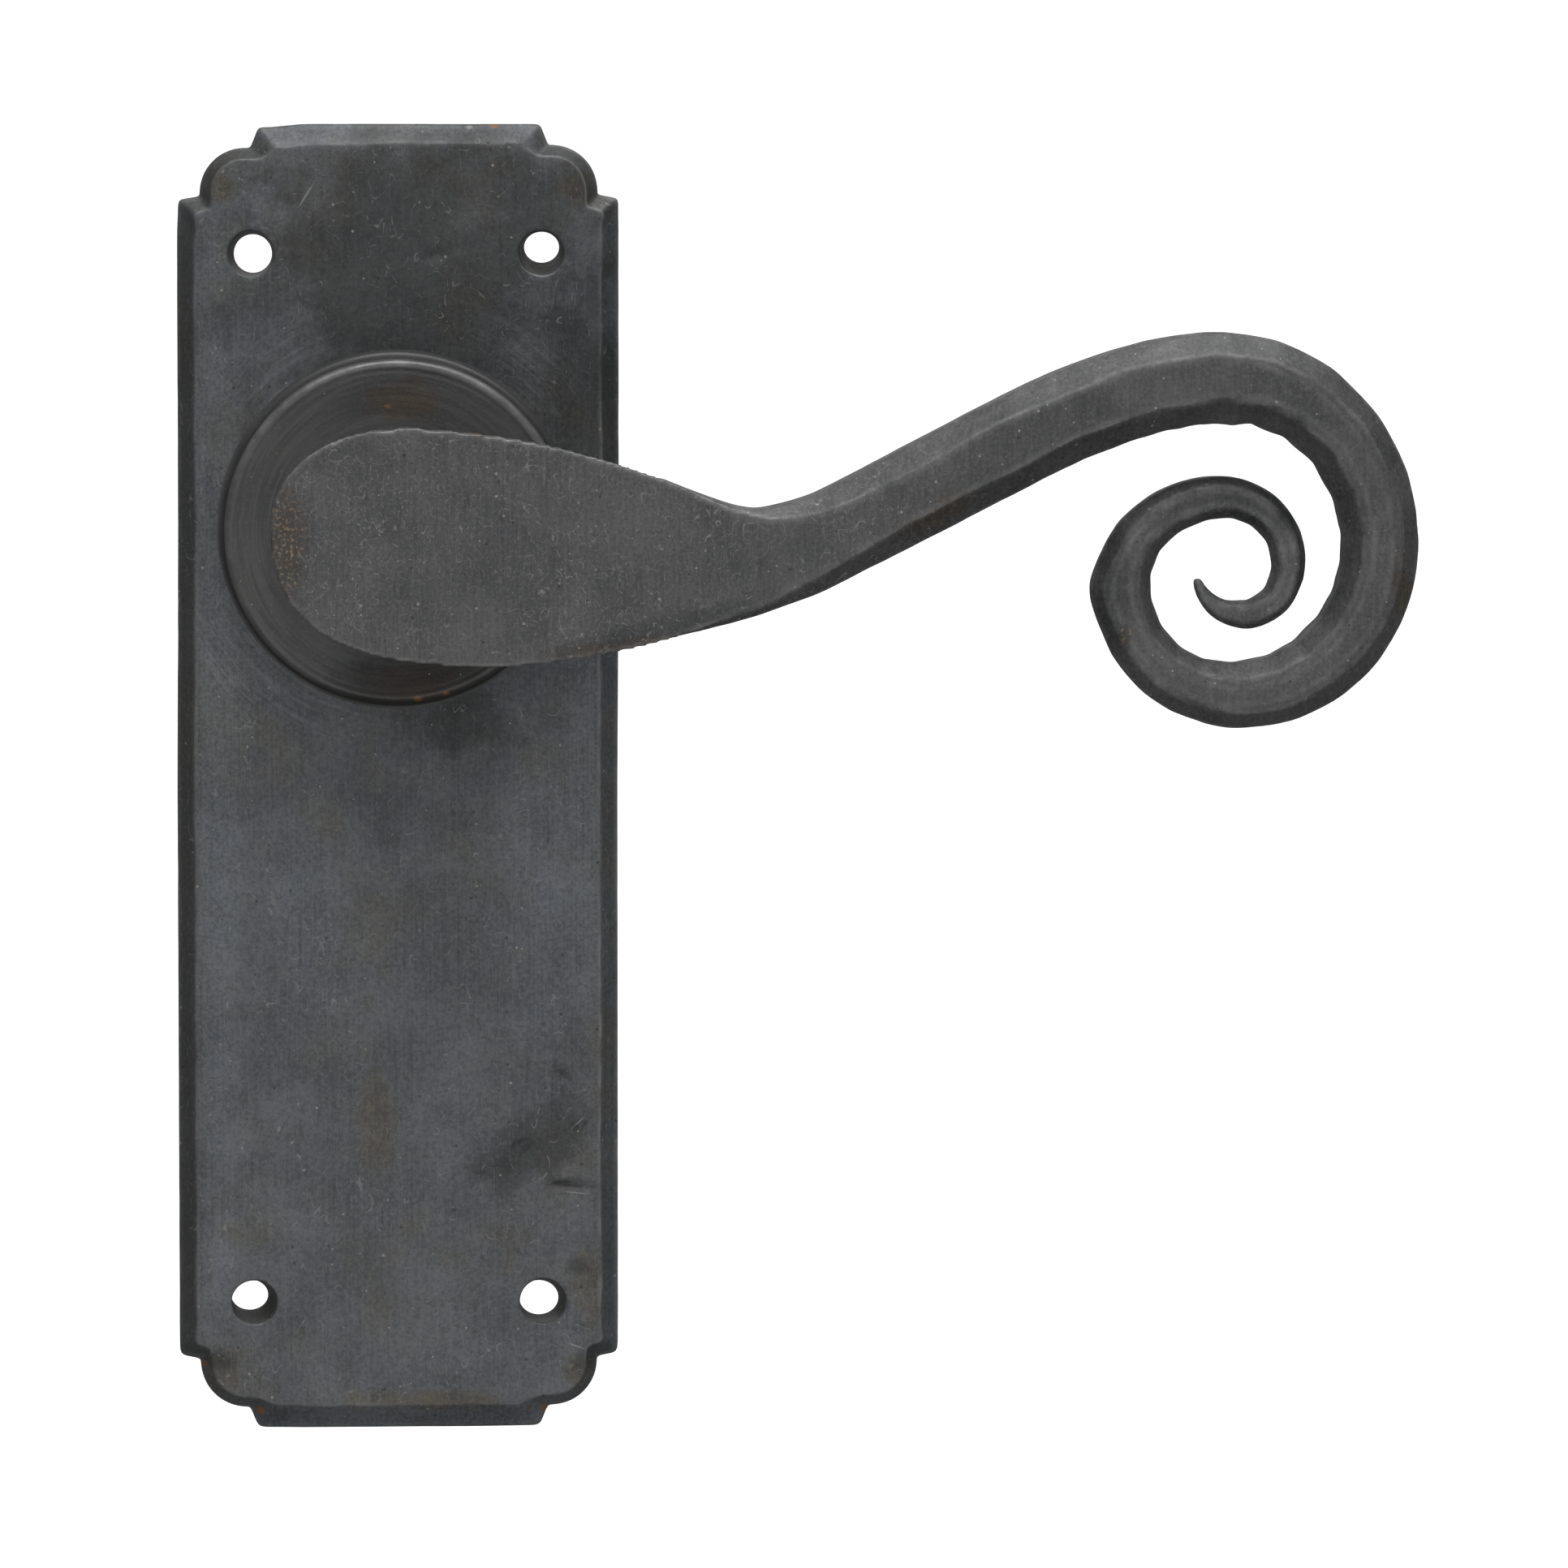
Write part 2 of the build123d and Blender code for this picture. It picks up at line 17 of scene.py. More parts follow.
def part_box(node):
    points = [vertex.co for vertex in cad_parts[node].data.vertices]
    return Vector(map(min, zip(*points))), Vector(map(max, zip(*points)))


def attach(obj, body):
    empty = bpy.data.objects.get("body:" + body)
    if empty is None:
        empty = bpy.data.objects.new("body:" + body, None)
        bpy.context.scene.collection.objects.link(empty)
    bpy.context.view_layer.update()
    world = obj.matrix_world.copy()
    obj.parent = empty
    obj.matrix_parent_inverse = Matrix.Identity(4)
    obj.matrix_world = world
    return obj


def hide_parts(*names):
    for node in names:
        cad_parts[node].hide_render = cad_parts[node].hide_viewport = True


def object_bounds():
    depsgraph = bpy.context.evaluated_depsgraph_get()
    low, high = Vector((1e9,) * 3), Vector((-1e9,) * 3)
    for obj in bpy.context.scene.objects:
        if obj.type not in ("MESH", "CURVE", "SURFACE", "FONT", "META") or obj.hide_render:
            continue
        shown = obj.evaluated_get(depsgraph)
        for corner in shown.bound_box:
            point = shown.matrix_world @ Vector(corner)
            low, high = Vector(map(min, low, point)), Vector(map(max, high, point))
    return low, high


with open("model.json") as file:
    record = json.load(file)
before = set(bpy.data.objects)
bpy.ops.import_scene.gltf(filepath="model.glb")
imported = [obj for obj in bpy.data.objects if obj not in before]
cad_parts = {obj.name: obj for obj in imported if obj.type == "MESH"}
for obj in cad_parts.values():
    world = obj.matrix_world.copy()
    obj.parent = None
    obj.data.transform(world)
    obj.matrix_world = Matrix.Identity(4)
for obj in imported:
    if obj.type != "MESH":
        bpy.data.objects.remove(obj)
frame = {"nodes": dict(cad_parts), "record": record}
cad_low, cad_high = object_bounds()
plate_low, plate_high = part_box("backplate")

MM = 0.001

# Plate: the CAD's own size, then how its rim is cut and how uneven hand work left it.
PLATE_WIDTH = (plate_high.x - plate_low.x) / MM
PLATE_TOP = plate_high.z / MM
PLATE_BOTTOM = plate_low.z / MM
PLATE_MIDDLE = (PLATE_TOP + PLATE_BOTTOM) / 2
PLATE_THICK = -plate_low.y / MM
STEP_IN = 2.4
STEP_DOWN = 8.6
STEP_SLOPE = 0.45
RISE = 0.4
SHOULDER_RADIUS = 5.35
TOP_STEP_RUN = 0.95
BEVEL_WIDTH = 2.1
TOP_BEVEL = 1.12  # bevel width at the plate's ends, as a share of the side bevel's
BOTTOM_BEVEL = 1.35
CORNER_BEVEL = 0.66  # and round the corners
SIDE_PAINTED_LIGHT = {  # share of the painted shade on each side's bevel, and of the edge wear and painted highlight on its arris
    "left": (1.0, 0.5),
    "right": (0.25, 1.0),
    "top": (0.05, 0.35),
    "bottom": (0.0, 0.5),
}
UPPER_SHIFT = 0.2  # the plate's upper part stands this far to the right of true
SHIFT_START = -30.0
SHIFT_RUN = 30.0
END_REACH = 6.0  # this near the plate's ends the bevel starts to change to their width
END_BLEND = 5.0
CORNER_REACH = 9.5  # and this near them to the corners' width, outside CORNER_INNER
CORNER_BLEND = 1.5
CORNER_INNER = 16.4
BOTTOM_LOOKS = 9.0  # how far from each end the end's own painted shade, and its wear and painted highlight, reach
TOP_LOOKS = 2.8
TOP_LOOKS_HALF = 16.2
WALL_SHADE = 1.5  # painted shade: the screw holes' walls are painted blacker still
FILED_HEIGHT = 12.0  # how far from the plate's ends the filing of its corners reaches
FILED_FADE = 1.6
FILED_INNER = 11.0
FILED_BLEND = 4.0
CORNER_FILED = {  # how much smaller each corner was filed: sign_x, sign_y
    (-1, 1): 0.38,
    (1, 1): 0.0,
    (-1, -1): 0.05,
    (1, -1): 0.08,
}
RIM_PROFILE = [  # share of the bevel's width, height, wear and painted highlight of the edge, painted shade of the bevel
    (0.12, 0.0, 0.0, 0.6),
    (0.0, 0.25, 0.3, 0.6),
    (0.0, 0.8, 0.0, 0.8),
    (0.0, 1.3, 0.3, 0.8),
    (0.03, 1.52, 0.9, 0.6),
    (0.12, 1.7, 0.4, 0.8),
    (0.3, 2.12, 0.0, 1.0),
    (0.55, 2.74, 0.0, 1.0),
    (0.8, 3.34, 0.0, 1.0),
    (0.94, 3.63, 0.15, 0.6),
    (1.0, 3.73, 0.8, 0.1),
    (1.07, 3.78, 0.35, 0.0),
    (1.2, 3.83, 0.0, 0.0),
]
CROWN_DROP = 0.2  # how far the field falls away towards the bevel
CROWN_REACH = 4.5
CROWN_START = 0.6
FIELD_HOLLOW = 0.045
BEVEL_UNEVEN = [(0.07, 9.0, 1.7), (0.05, 2.8, 5.1)]  # layers of noise: height, bump size, shift
RIM_UNEVEN = [(0.04, 12.0, 3.3), (0.04, 2.6, 8.8)]
FIELD_UNEVEN = [(-FIELD_HOLLOW, 17.0, 2.2), (0.018, 2.6, 7.7)]
ROLLED = 0.05  # unevenness of the bevel above this height
ROLLED_START = 1.5
ROUND_CORNERS = (1.5, 2.0)  # smoothing of the rim, and how much more its lower half has
FIELD_SPACING = 0.45
ROW_SHARE = sqrt(0.75)  # distance of the field's staggered rows, as a share of its spacing
COLLAR_HOLE = 18.0
COVER_RECESS = 20.6
COVER_THICK = 1.2
HOLE_SPACING_X = 33.6
HOLE_SPACING_Y = 122.0
HOLE_FRONT = 2.8
HOLE_PROFILE = [  # share of the way from the front radius to the back one, depth
    (0.0, 0.0),
    (0.1, 0.05),
    (0.22, 0.2),
    (0.34, 0.6),
    (0.46, 1.3),
    (1.0, 4.0),
]
HOLE_BACKS = {  # each hole's back end: half width, half height, shift in x and y
    (-1, 1): (2.2, 2.22, 0.18, 0.0),
    (1, 1): (2.02, 1.78, 0.08, 0.72),
    (-1, -1): (2.14, 1.76, -0.65, 0.48),
    (1, -1): (2.28, 2.0, -0.46, 0.0),
}
DENTS = [  # x, y, length, width, direction in degrees, depth
    (4.8, 31.7, 2.4, 1.2, 20, 0.25),
    (7.4, 31.3, 1.6, 1.0, 160, -0.15),
    (-24.0, 5.5, 2.2, 0.9, 150, 0.2),
    (14.2, -72.0, 3.4, 1.2, 35, 0.42),
    (13.0, -70.9, 2.8, 0.9, 30, -0.25),
    (10.2, -75.2, 3.4, 0.8, 15, 0.25),
    (20.6, -69.6, 3.2, 0.7, 40, 0.40),
    (21.4, -70.8, 2.8, 0.6, 38, -0.25),
    (20.0, -76.4, 7.0, 0.8, -4, 0.45),
    (19.6, -77.4, 6.5, 0.7, -4, -0.20),
    (19.2, -63.2, 3.0, 1.4, -40, 0.30),
    (18.6, -65.2, 2.0, 1.1, 60, 0.26),
    (20.4, -60.6, 2.4, 1.0, 10, 0.20),
    (20.7, -86.2, 2.6, 1.5, 0, 0.30),
    (20.7, -86.2, 1.0, 0.6, 0, -0.30),
    (9.4, -81.0, 4.6, 0.8, 70, -0.15),
    (11.4, -77.6, 3.4, 1.6, 5, 0.18),
    (12.4, -60.5, 1.4, 1.1, 0, 0.18),
    (12.6, -66.5, 1.6, 1.0, 80, 0.16),
    (21.5, -93.4, 3.2, 1.0, -20, 0.30),
    (17.5, -97.5, 4.0, 1.4, 30, 0.25),
]

# Turned collar: outside and inside of its section, as radius and height.
COLLAR_RADIUS = 19.8
COLLAR_FRONT = 14.0
COLLAR_EDGE = 0.9
COLLAR_SINK = 0.1  # how far its foot is let into the plate
COLLAR_DISH = 0.06
FACE_DROP = 0.08
GROOVE_RADIUS = 18.5
GROOVE_WIDTH = 0.2
GROOVE_DEPTH = 0.02
WALL_RINGS = (8.0, 11.0)  # heights of the rings of points up its wall
BUSH_FLANGE = 1.0
COVE_RADIUS = 20.8
COVE_TOP = 5.6
COLLAR_BORE = 9.95
BUSH_BORE = 9.0
COLLAR_CAVITY = 14.7
COLLAR_WALL = 11.0

# Forged lever.
LEVER_FRONT = 50.0
BLADE_THICK = 8.2
BLADE_CHAMFER = 0.4
BLADE_OUTLINE = [
    (38.0, 2.6),
    (33.8, 5.0),
    (24.4, 8.4),
    (15.1, 10.8),
    (5.7, 12.05),
    (-0.5, 12.3),
    (-6.7, 11.0),
    (-11.5, 7.7),
    (-13.6, 3.3),
    (-13.5, -2.2),
    (-11.4, -7.0),
    (-7.7, -10.3),
    (-2.1, -12.5),
    (4.1, -13.5),
    (10.3, -13.8),
    (19.6, -12.9),
    (30.4, -10.6),
    (38.0, -7.6),
]
BAR_ROOT = [  # where the bar grows out of the blade: x, y, heading, width, depth, chamfer
    (29.0, -2.1, -3.0, 17.8, 8.2, 0.4),
    (33.0, -2.3, -1.0, 15.4, 8.2, 0.4),
    (36.6, -2.4, 2.0, 13.2, 8.3, 0.5),
    (39.7, -2.25, 6.0, 11.7, 8.5, 0.75),
    (42.2, -1.7, 12.5, 10.8, 8.8, 1.1),
    (45.1, -0.8, 19.0, 10.4, 9.2, 1.6),
    (48.3, 0.5, 25.0, 10.0, 9.7, 2.1),
]
BAR_START = (51.9, 2.28)
BAR_HEADING = 27.3
BAR_LENGTH = 19.3
BAR_WIDTH = 10.05
DEPTH_BASE = 0.75  # the bar's depth is this much and a share of its width
DEPTH_SHARE = 0.92
SCROLL_MIDDLE = 45.0
SCROLL_BENDS = [  # turn in degrees, radius, width at the bend's end
    (9.0, 82.5, 10.0),
    (18.3, 36.8, 10.0),
    (45.0, 16.2, 8.7),
    (45.0, 19.6, 8.2),
    (45.0, 17.2, 8.0),
    (45.0, 15.8, 7.1),
    (45.0, 12.9, 6.2),
    (45.0, 12.0, 5.9),
    (45.0, 8.9, 5.2),
    (45.0, 12.2, 4.5),
    (60.0, 7.5, 3.7),
    (60.0, 6.9, 3.3),
    (60.0, 5.0, 3.0),
    (60.0, 5.2, 1.2),
    (18.0, 5.0, 0.6),
]
STATION_SPACING = 0.8
CHAMFER_SHARE = 0.255  # corner chamfer as a share of the bar's width
CHAMFER_FALL = 1.1  # how far a chamfer falls for each mm across
LEDGE_SHARES = (0.13, 0.03)  # the gentler facet beside it, round the scroll and on the stalk
LEDGE_HEADINGS = (-60.0, 20.0)
LEDGE_FALL = 0.28
FLAT_LENGTH = 5.4  # usual length of one hammered flat along the bar
FLAT_VARIETY = 0.35
FLAT_SHRINK = 0.55  # how much shorter the flats grow as the bar narrows
OUTER_FLATS = 0.35  # how strongly the flats show on the scroll's outer side
MIN_INNER_RADIUS = 2.0
BUMP_SIZE = 9.0  # how uneven the bar is: bumps this long, then shares of chamfer and size
OUTER_UNEVEN = 0.12
INNER_UNEVEN = 0.15
WIDTH_UNEVEN = 0.008
DEPTH_UNEVEN = 0.010
BLADE_UNEVEN = [(0.07, 3.5, 9.1)]
LEVER_UNEVEN = [(0.05, 5.0, 1.1), (0.03, 1.8, 4.2)]
SMOOTHING_LOSS = 0.12  # what the smoothing of the lever's surface takes off each side
KNUCKLE_HEADING = -269.0  # where a hammer blow left the scroll's outer side proud
KNUCKLE_REACH = 12.0
KNUCKLE = 0.6
LEVER_VOXEL = 0.32
PROUD_WEAR_AND_HIGHLIGHT = 0.03  # an edge that stands this far proud is painted fully bright, as wear and as a painted highlight
LEVER_DENTS = [  # hammer marks: x, y, radius, depth
    (88.6, 13.2, 1.3, 0.16),
    (91.6, 14.6, 1.5, 0.20),
    (94.3, 13.4, 1.4, 0.24),
    (97.6, 13.7, 1.1, 0.16),
    (77.0, 14.2, 1.6, 0.12),
    (93.2, -17.0, 1.6, 0.14),
    (88.4, -19.6, 1.5, 0.12),
    (118.0, -4.5, 1.3, 0.14),
    (114.8, 1.6, 1.5, 0.12),
]


# ---- shape helpers
def to_row(points):
    """Bench millimetres to metres in the frame's axes."""
    points = np.asarray(points, float)
    return np.column_stack([points[:, 0], -points[:, 2], points[:, 1]]) * MM


def rumple(points, bump, shift=0.0):
    """Smooth noise from -1 to 1 at each point, with bumps about that many mm across."""
    offset = Vector((shift, 2 * shift, 3 * shift))
    return np.array([noise.noise(Vector(p) / bump + offset) for p in points])


def uneven(points, layers):
    """Noise in layers of (height, bump size, shift), added together."""
    return sum(height * rumple(points, bump, shift) for height, bump, shift in layers)


def lifted(flat, height=0.0):
    """Flat points raised to a height, or each to its own."""
    return np.column_stack([flat, np.broadcast_to(height, len(flat))])


def mesh_from(name, points, faces):
    mesh = bpy.data.meshes.new(name)
    mesh.from_pydata(to_row(points).tolist(), [], faces)
    mesh.validate()
    mesh.update()
    piece = bpy.data.objects.new(name, mesh)
    bpy.context.scene.collection.objects.link(piece)
    return piece


def finish_piece(piece, body, replaced, material, sharp_angle=50):
    """Smooth shading, material, and the piece's place in the frame."""
    piece.data.shade_smooth()
    piece.data.set_sharp_from_angle(angle=radians(sharp_angle))
    piece.data.materials.clear()
    piece.data.materials.append(material)
    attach(piece, body)
    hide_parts(*replaced)
    return piece


def store(piece, name, values):
    """Keeps one number per vertex on the mesh for the material to read."""
    attribute = piece.data.attributes.new(name, "FLOAT", "POINT")
    attribute.data.foreach_set("value", np.asarray(values, np.float32))


def vertex_values(mesh, name):
    """Each vertex's place or normal, in the frame's axes."""
    values = np.zeros(len(mesh.vertices) * 3)
    mesh.vertices.foreach_get(name, values)
    return values.reshape(-1, 3)


def move_vertices(mesh, places):
    mesh.vertices.foreach_set("co", places.ravel())
    mesh.update()


def strip(first, second, count, closed=True):
    """Quads between two loops of equal length, given the index each starts at."""
    faces = []
    for i in range(count if closed else count - 1):
        j = (i + 1) % count
        faces.append((first + i, first + j, second + j, second + i))
    return faces


def circle(centre, radius, count, height):
    angles = np.arange(count) * 2 * pi / count
    x = centre[0] + radius * np.cos(angles)
    y = centre[1] + radius * np.sin(angles)
    return lifted(np.column_stack([x, y]), height)


def softened(loop, passes):
    """The loop with each point drawn to its neighbours, more often where passes is more."""
    for done in range(int(passes.max())):
        mean = (np.roll(loop, 1, axis=0) + np.roll(loop, -1, axis=0)) / 2
        share = 0.5 * np.clip(passes - done, 0, 1)[:, None]
        loop = loop + (mean - loop) * share
    return loop


# ---- forged plate
def straight(start, finish, count):
    """Points from start towards finish, which itself is left out."""
    shares = np.arange(count)[:, None] / count
    return np.asarray(start) + np.subtract(finish, start) * shares


def quarter_outline(inset):
    """From the middle of the right side up and round the corner to the top's middle.

    The counts keep its points about half a millimetre apart."""
    half_length = (PLATE_TOP - PLATE_BOTTOM) / 2
    side = PLATE_WIDTH / 2 - inset
    step = side - STEP_IN
    low = half_length - STEP_DOWN + STEP_SLOPE - inset
    shoulder = SHOULDER_RADIUS - inset
    centre_x = step - shoulder
    centre_y = low + RISE + inset
    top = centre_y + shoulder
    run_end = centre_x - RISE - inset
    end = half_length - inset
    arc_count = 18
    angles = np.arange(arc_count) * pi / 2 / arc_count
    arc_x = centre_x + shoulder * np.cos(angles)
    arc_y = centre_y + shoulder * np.sin(angles)
    legs = [
        straight((side, 0.0), (side, low - STEP_SLOPE), 130),
        straight((side, low - STEP_SLOPE), (step, low), 6),
        straight((step, low), (step, centre_y), 3),
        np.column_stack([arc_x, arc_y]),
        straight((centre_x, top), (run_end, top), 3),
        straight((run_end, top), (run_end - TOP_STEP_RUN, end), 7),
        straight((run_end - TOP_STEP_RUN, end), (0.0, end), 34),
    ]
    return np.vstack(legs)


def plate_outline(inset):
    """The whole outline, anticlockwise, with the same count whatever the inset."""
    quarter = quarter_outline(inset)
    top_end = np.array([[0.0, (PLATE_TOP - PLATE_BOTTOM) / 2 - inset]])
    upper_left = np.vstack([top_end, quarter[:0:-1]]) * (-1, 1)
    upper = np.vstack([quarter, upper_left])
    whole = np.vstack([upper, -upper])
    return whole + (0.0, PLATE_MIDDLE)


def bevel_widths(rim):
    """How wide the bevel is at each outline point, as a share of the nominal width."""
    above = np.clip((rim[:, 1] - PLATE_TOP + END_REACH) / END_BLEND, 0, 1)
    below = np.clip((PLATE_BOTTOM + END_REACH - rim[:, 1]) / END_BLEND, 0, 1)
    widths = 1 + (TOP_BEVEL - 1) * above + (BOTTOM_BEVEL - 1) * below
    near_end = np.minimum(PLATE_TOP - rim[:, 1], rim[:, 1] - PLATE_BOTTOM)
    corner = np.clip((CORNER_REACH - near_end) / CORNER_BLEND, 0, 1)
    corner *= np.clip(np.abs(rim[:, 0]) - CORNER_INNER, 0, 1)
    widths = widths + (CORNER_BEVEL - widths) * corner
    return widths * (1 + uneven(lifted(rim), BEVEL_UNEVEN))


def corner_filing(rim):
    """How far each outline point is drawn in by the filing of the corner it belongs to."""
    near_end = np.minimum(PLATE_TOP - rim[:, 1], rim[:, 1] - PLATE_BOTTOM)
    in_corner = np.clip(FILED_FADE * (1 - near_end / FILED_HEIGHT), 0, 1)
    in_corner *= np.clip((np.abs(rim[:, 0]) - FILED_INNER) / FILED_BLEND, 0, 1)
    filed = np.zeros(len(rim))
    for (sign_x, sign_y), depth in CORNER_FILED.items():
        here = (rim[:, 0] * sign_x > 0) & ((rim[:, 1] - PLATE_MIDDLE) * sign_y > 0)
        filed[here] = depth
    return filed * in_corner


def rim_loops():
    """The plate's rim from its back edge up the bevel to the field, loop by loop."""
    rim = plate_outline(0.0)
    inner = plate_outline(BEVEL_WIDTH)
    widths = bevel_widths(rim)
    spots = lifted(rim)
    wander = np.clip(uneven(spots, RIM_UNEVEN), 0, None)
    drawn_in = (corner_filing(rim) + wander) / BEVEL_WIDTH
    passes = ROUND_CORNERS[0] + ROUND_CORNERS[1] * (rim[:, 1] < PLATE_MIDDLE)
    loops = []
    for share, height, _, _ in RIM_PROFILE:
        inset = share * widths + drawn_in
        flat = rim + (inner - rim) * inset[:, None]
        flat[:, 0] += UPPER_SHIFT * np.clip((flat[:, 1] - SHIFT_START) / SHIFT_RUN, 0, 1)
        flat = softened(flat, passes)
        rolled = ROLLED * rumple(spots, 4.0, 6.0 + height) * (height > ROLLED_START)
        loops.append(lifted(flat, height + rolled))
    return loops


def hole_centres():
    for (sign_x, sign_y), back in HOLE_BACKS.items():
        x = sign_x * HOLE_SPACING_X / 2
        y = PLATE_MIDDLE + sign_y * HOLE_SPACING_Y / 2
        yield (x, y), back


def inside(points, loop):
    """Which points lie inside a closed loop, by counting the edges to their right."""
    result = np.zeros(len(points), bool)
    x, y = points[:, 0], points[:, 1]
    for (ax, ay), (bx, by) in zip(loop, np.roll(loop, -1, axis=0)):
        if ay == by:
            continue
        crosses = ((ay > y) != (by > y)) & (x < (bx - ax) * (y - ay) / (by - ay) + ax)
        result ^= crosses
    return result


def edge_distances(points, loop):
    tree = kdtree.KDTree(len(loop))
    for index, (x, y) in enumerate(loop):
        tree.insert((x, y, 0.0), index)
    tree.balance()
    return np.array([tree.find((x, y, 0.0))[2] for x, y in points])


def field_heights(flat, edge_loop):
    """Height of the plate's face: crowned at the rim, gently uneven, and dented."""
    distances = edge_distances(flat, edge_loop)
    fall = np.clip(1 - (distances + CROWN_START) / CROWN_REACH, 0, 1)
    heights = PLATE_THICK - CROWN_DROP * fall**2
    heights = heights - FIELD_HOLLOW + uneven(lifted(flat), FIELD_UNEVEN)
    for x, y, length, width, direction, depth in DENTS:
        turn = radians(direction)
        dx, dy = flat[:, 0] - x, flat[:, 1] - y
        along = (dx * cos(turn) + dy * sin(turn)) / (length / 2)
        across = (dy * cos(turn) - dx * sin(turn)) / (width / 2)
        heights = heights - depth * np.exp(-(along**2) - across**2)
    return np.minimum(heights, PLATE_THICK)


def field_points(edge_loop, rings):
    """A staggered grid of points over the plate's face, clear of its rim and holes."""
    row_spacing = FIELD_SPACING * ROW_SHARE
    rows = int((PLATE_TOP - PLATE_BOTTOM) / row_spacing)
    columns = int(PLATE_WIDTH / FIELD_SPACING)
    grid = []
    for row in range(rows):
        y = PLATE_BOTTOM + row * row_spacing
        offset = FIELD_SPACING / 2 * (row % 2)
        for column in range(columns):
            grid.append((column * FIELD_SPACING + offset - PLATE_WIDTH / 2, y))
    grid = np.array(grid)
    grid = grid[inside(grid, edge_loop)]
    grid = grid[edge_distances(grid, edge_loop) > 0.7 * FIELD_SPACING]
    for ring in rings:
        centre = ring[:, :2].mean(0)
        radius = np.linalg.norm(ring[:, :2] - centre, axis=1).max()
        away = np.linalg.norm(grid - centre, axis=1)
        grid = grid[away > radius + 0.6 * FIELD_SPACING]
    return grid


def filled(outer, rings, loose):
    """Triangles between an outer loop and the rings in it, by index into all the points."""
    loops = [outer, *rings]
    flat = np.vstack([loop[:, :2] for loop in loops] + [loose])
    edges = []
    start = 0
    for loop in loops:
        count = len(loop)
        edges += [(start + i, start + (i + 1) % count) for i in range(count)]
        start += count
    result = delaunay_2d_cdt([Vector(p) for p in flat], edges, [], 0, 1e-6)
    origin = [sources[0] for sources in result[3]]
    faces = [tuple(origin[i] for i in face) for face in result[2]]
    centres = np.array([flat[list(face)].mean(0) for face in faces])
    keep = inside(centres, outer[:, :2])
    for ring in rings:
        keep &= ~inside(centres, ring[:, :2])
    return [face for face, kept in zip(faces, keep) if kept]


def hole_rings(centre, back):
    """The loops down one screw hole, round at the front and drilled off square."""
    half_width, half_height, shift_x, shift_y = back
    rings = []
    for share, depth in HOLE_PROFILE:
        lean = depth / PLATE_THICK
        ring = circle((0, 0), 1.0, 48, PLATE_THICK - depth)
        ring[:, 0] *= HOLE_FRONT + (half_width - HOLE_FRONT) * share
        ring[:, 1] *= HOLE_FRONT + (half_height - HOLE_FRONT) * share
        ring[:, 0] += centre[0] + shift_x * lean
        ring[:, 1] += centre[1] + shift_y * lean
        ring[:, :2] += 0.05 * (1 - lean) * rumple(ring, 1.6, 4.0)[:, None]
        rings.append(ring)
    return rings


def side_painted_light(points, count):
    """Shares of painted shade and of wear with painted highlight at each point; only the rim differs
    from side to side.
    """
    looks = np.ones((len(points), 2))
    rim = looks[:count]
    x, y = points[:count, :2].T
    # painted light by side: the left bevel is shaded darkest, and the top and bottom bevels are left
    # nearly unshaded
    rim[:] = SIDE_PAINTED_LIGHT["left"]
    rim[x > 0] = SIDE_PAINTED_LIGHT["right"]
    rim[y < PLATE_BOTTOM + BOTTOM_LOOKS] = SIDE_PAINTED_LIGHT["bottom"]
    rim[(y > PLATE_TOP - TOP_LOOKS) & (np.abs(x) < TOP_LOOKS_HALF)] = SIDE_PAINTED_LIGHT["top"]
    return looks.T


class Skin:
    """A piece's points and faces as they are gathered, with each point's wear and painted highlight,
    and its painted shade.
    """

    def __init__(self):
        self.points = []
        self.wear_and_highlight = []
        self.painted_shade = []
        self.faces = []
        self.total = 0

    def add(self, points, wear_and_highlight=0.0, painted_shade=0.0):
        """Adds points of one share of wear and painted highlight and one of painted shade, and
        returns their indices.
        """
        count = len(points)
        self.points.append(points)
        self.wear_and_highlight.append(np.full(count, float(wear_and_highlight)))
        self.painted_shade.append(np.full(count, float(painted_shade)))
        self.total += count
        return list(range(self.total - count, self.total))

    def fill(self, indices, faces):
        """Adds faces whose corners are places in a list of indices."""
        self.faces += [tuple(indices[i] for i in face) for face in faces]


def recess_rings():
    """The loops through the collar's hole and round the rear cover's recess."""
    steps = [(COLLAR_HOLE, PLATE_THICK), (COLLAR_HOLE, COVER_THICK)]
    steps += [(COVER_RECESS, COVER_THICK), (COVER_RECESS, 0.0)]
    return [circle((0, 0), radius, 160, height) for radius, height in steps]


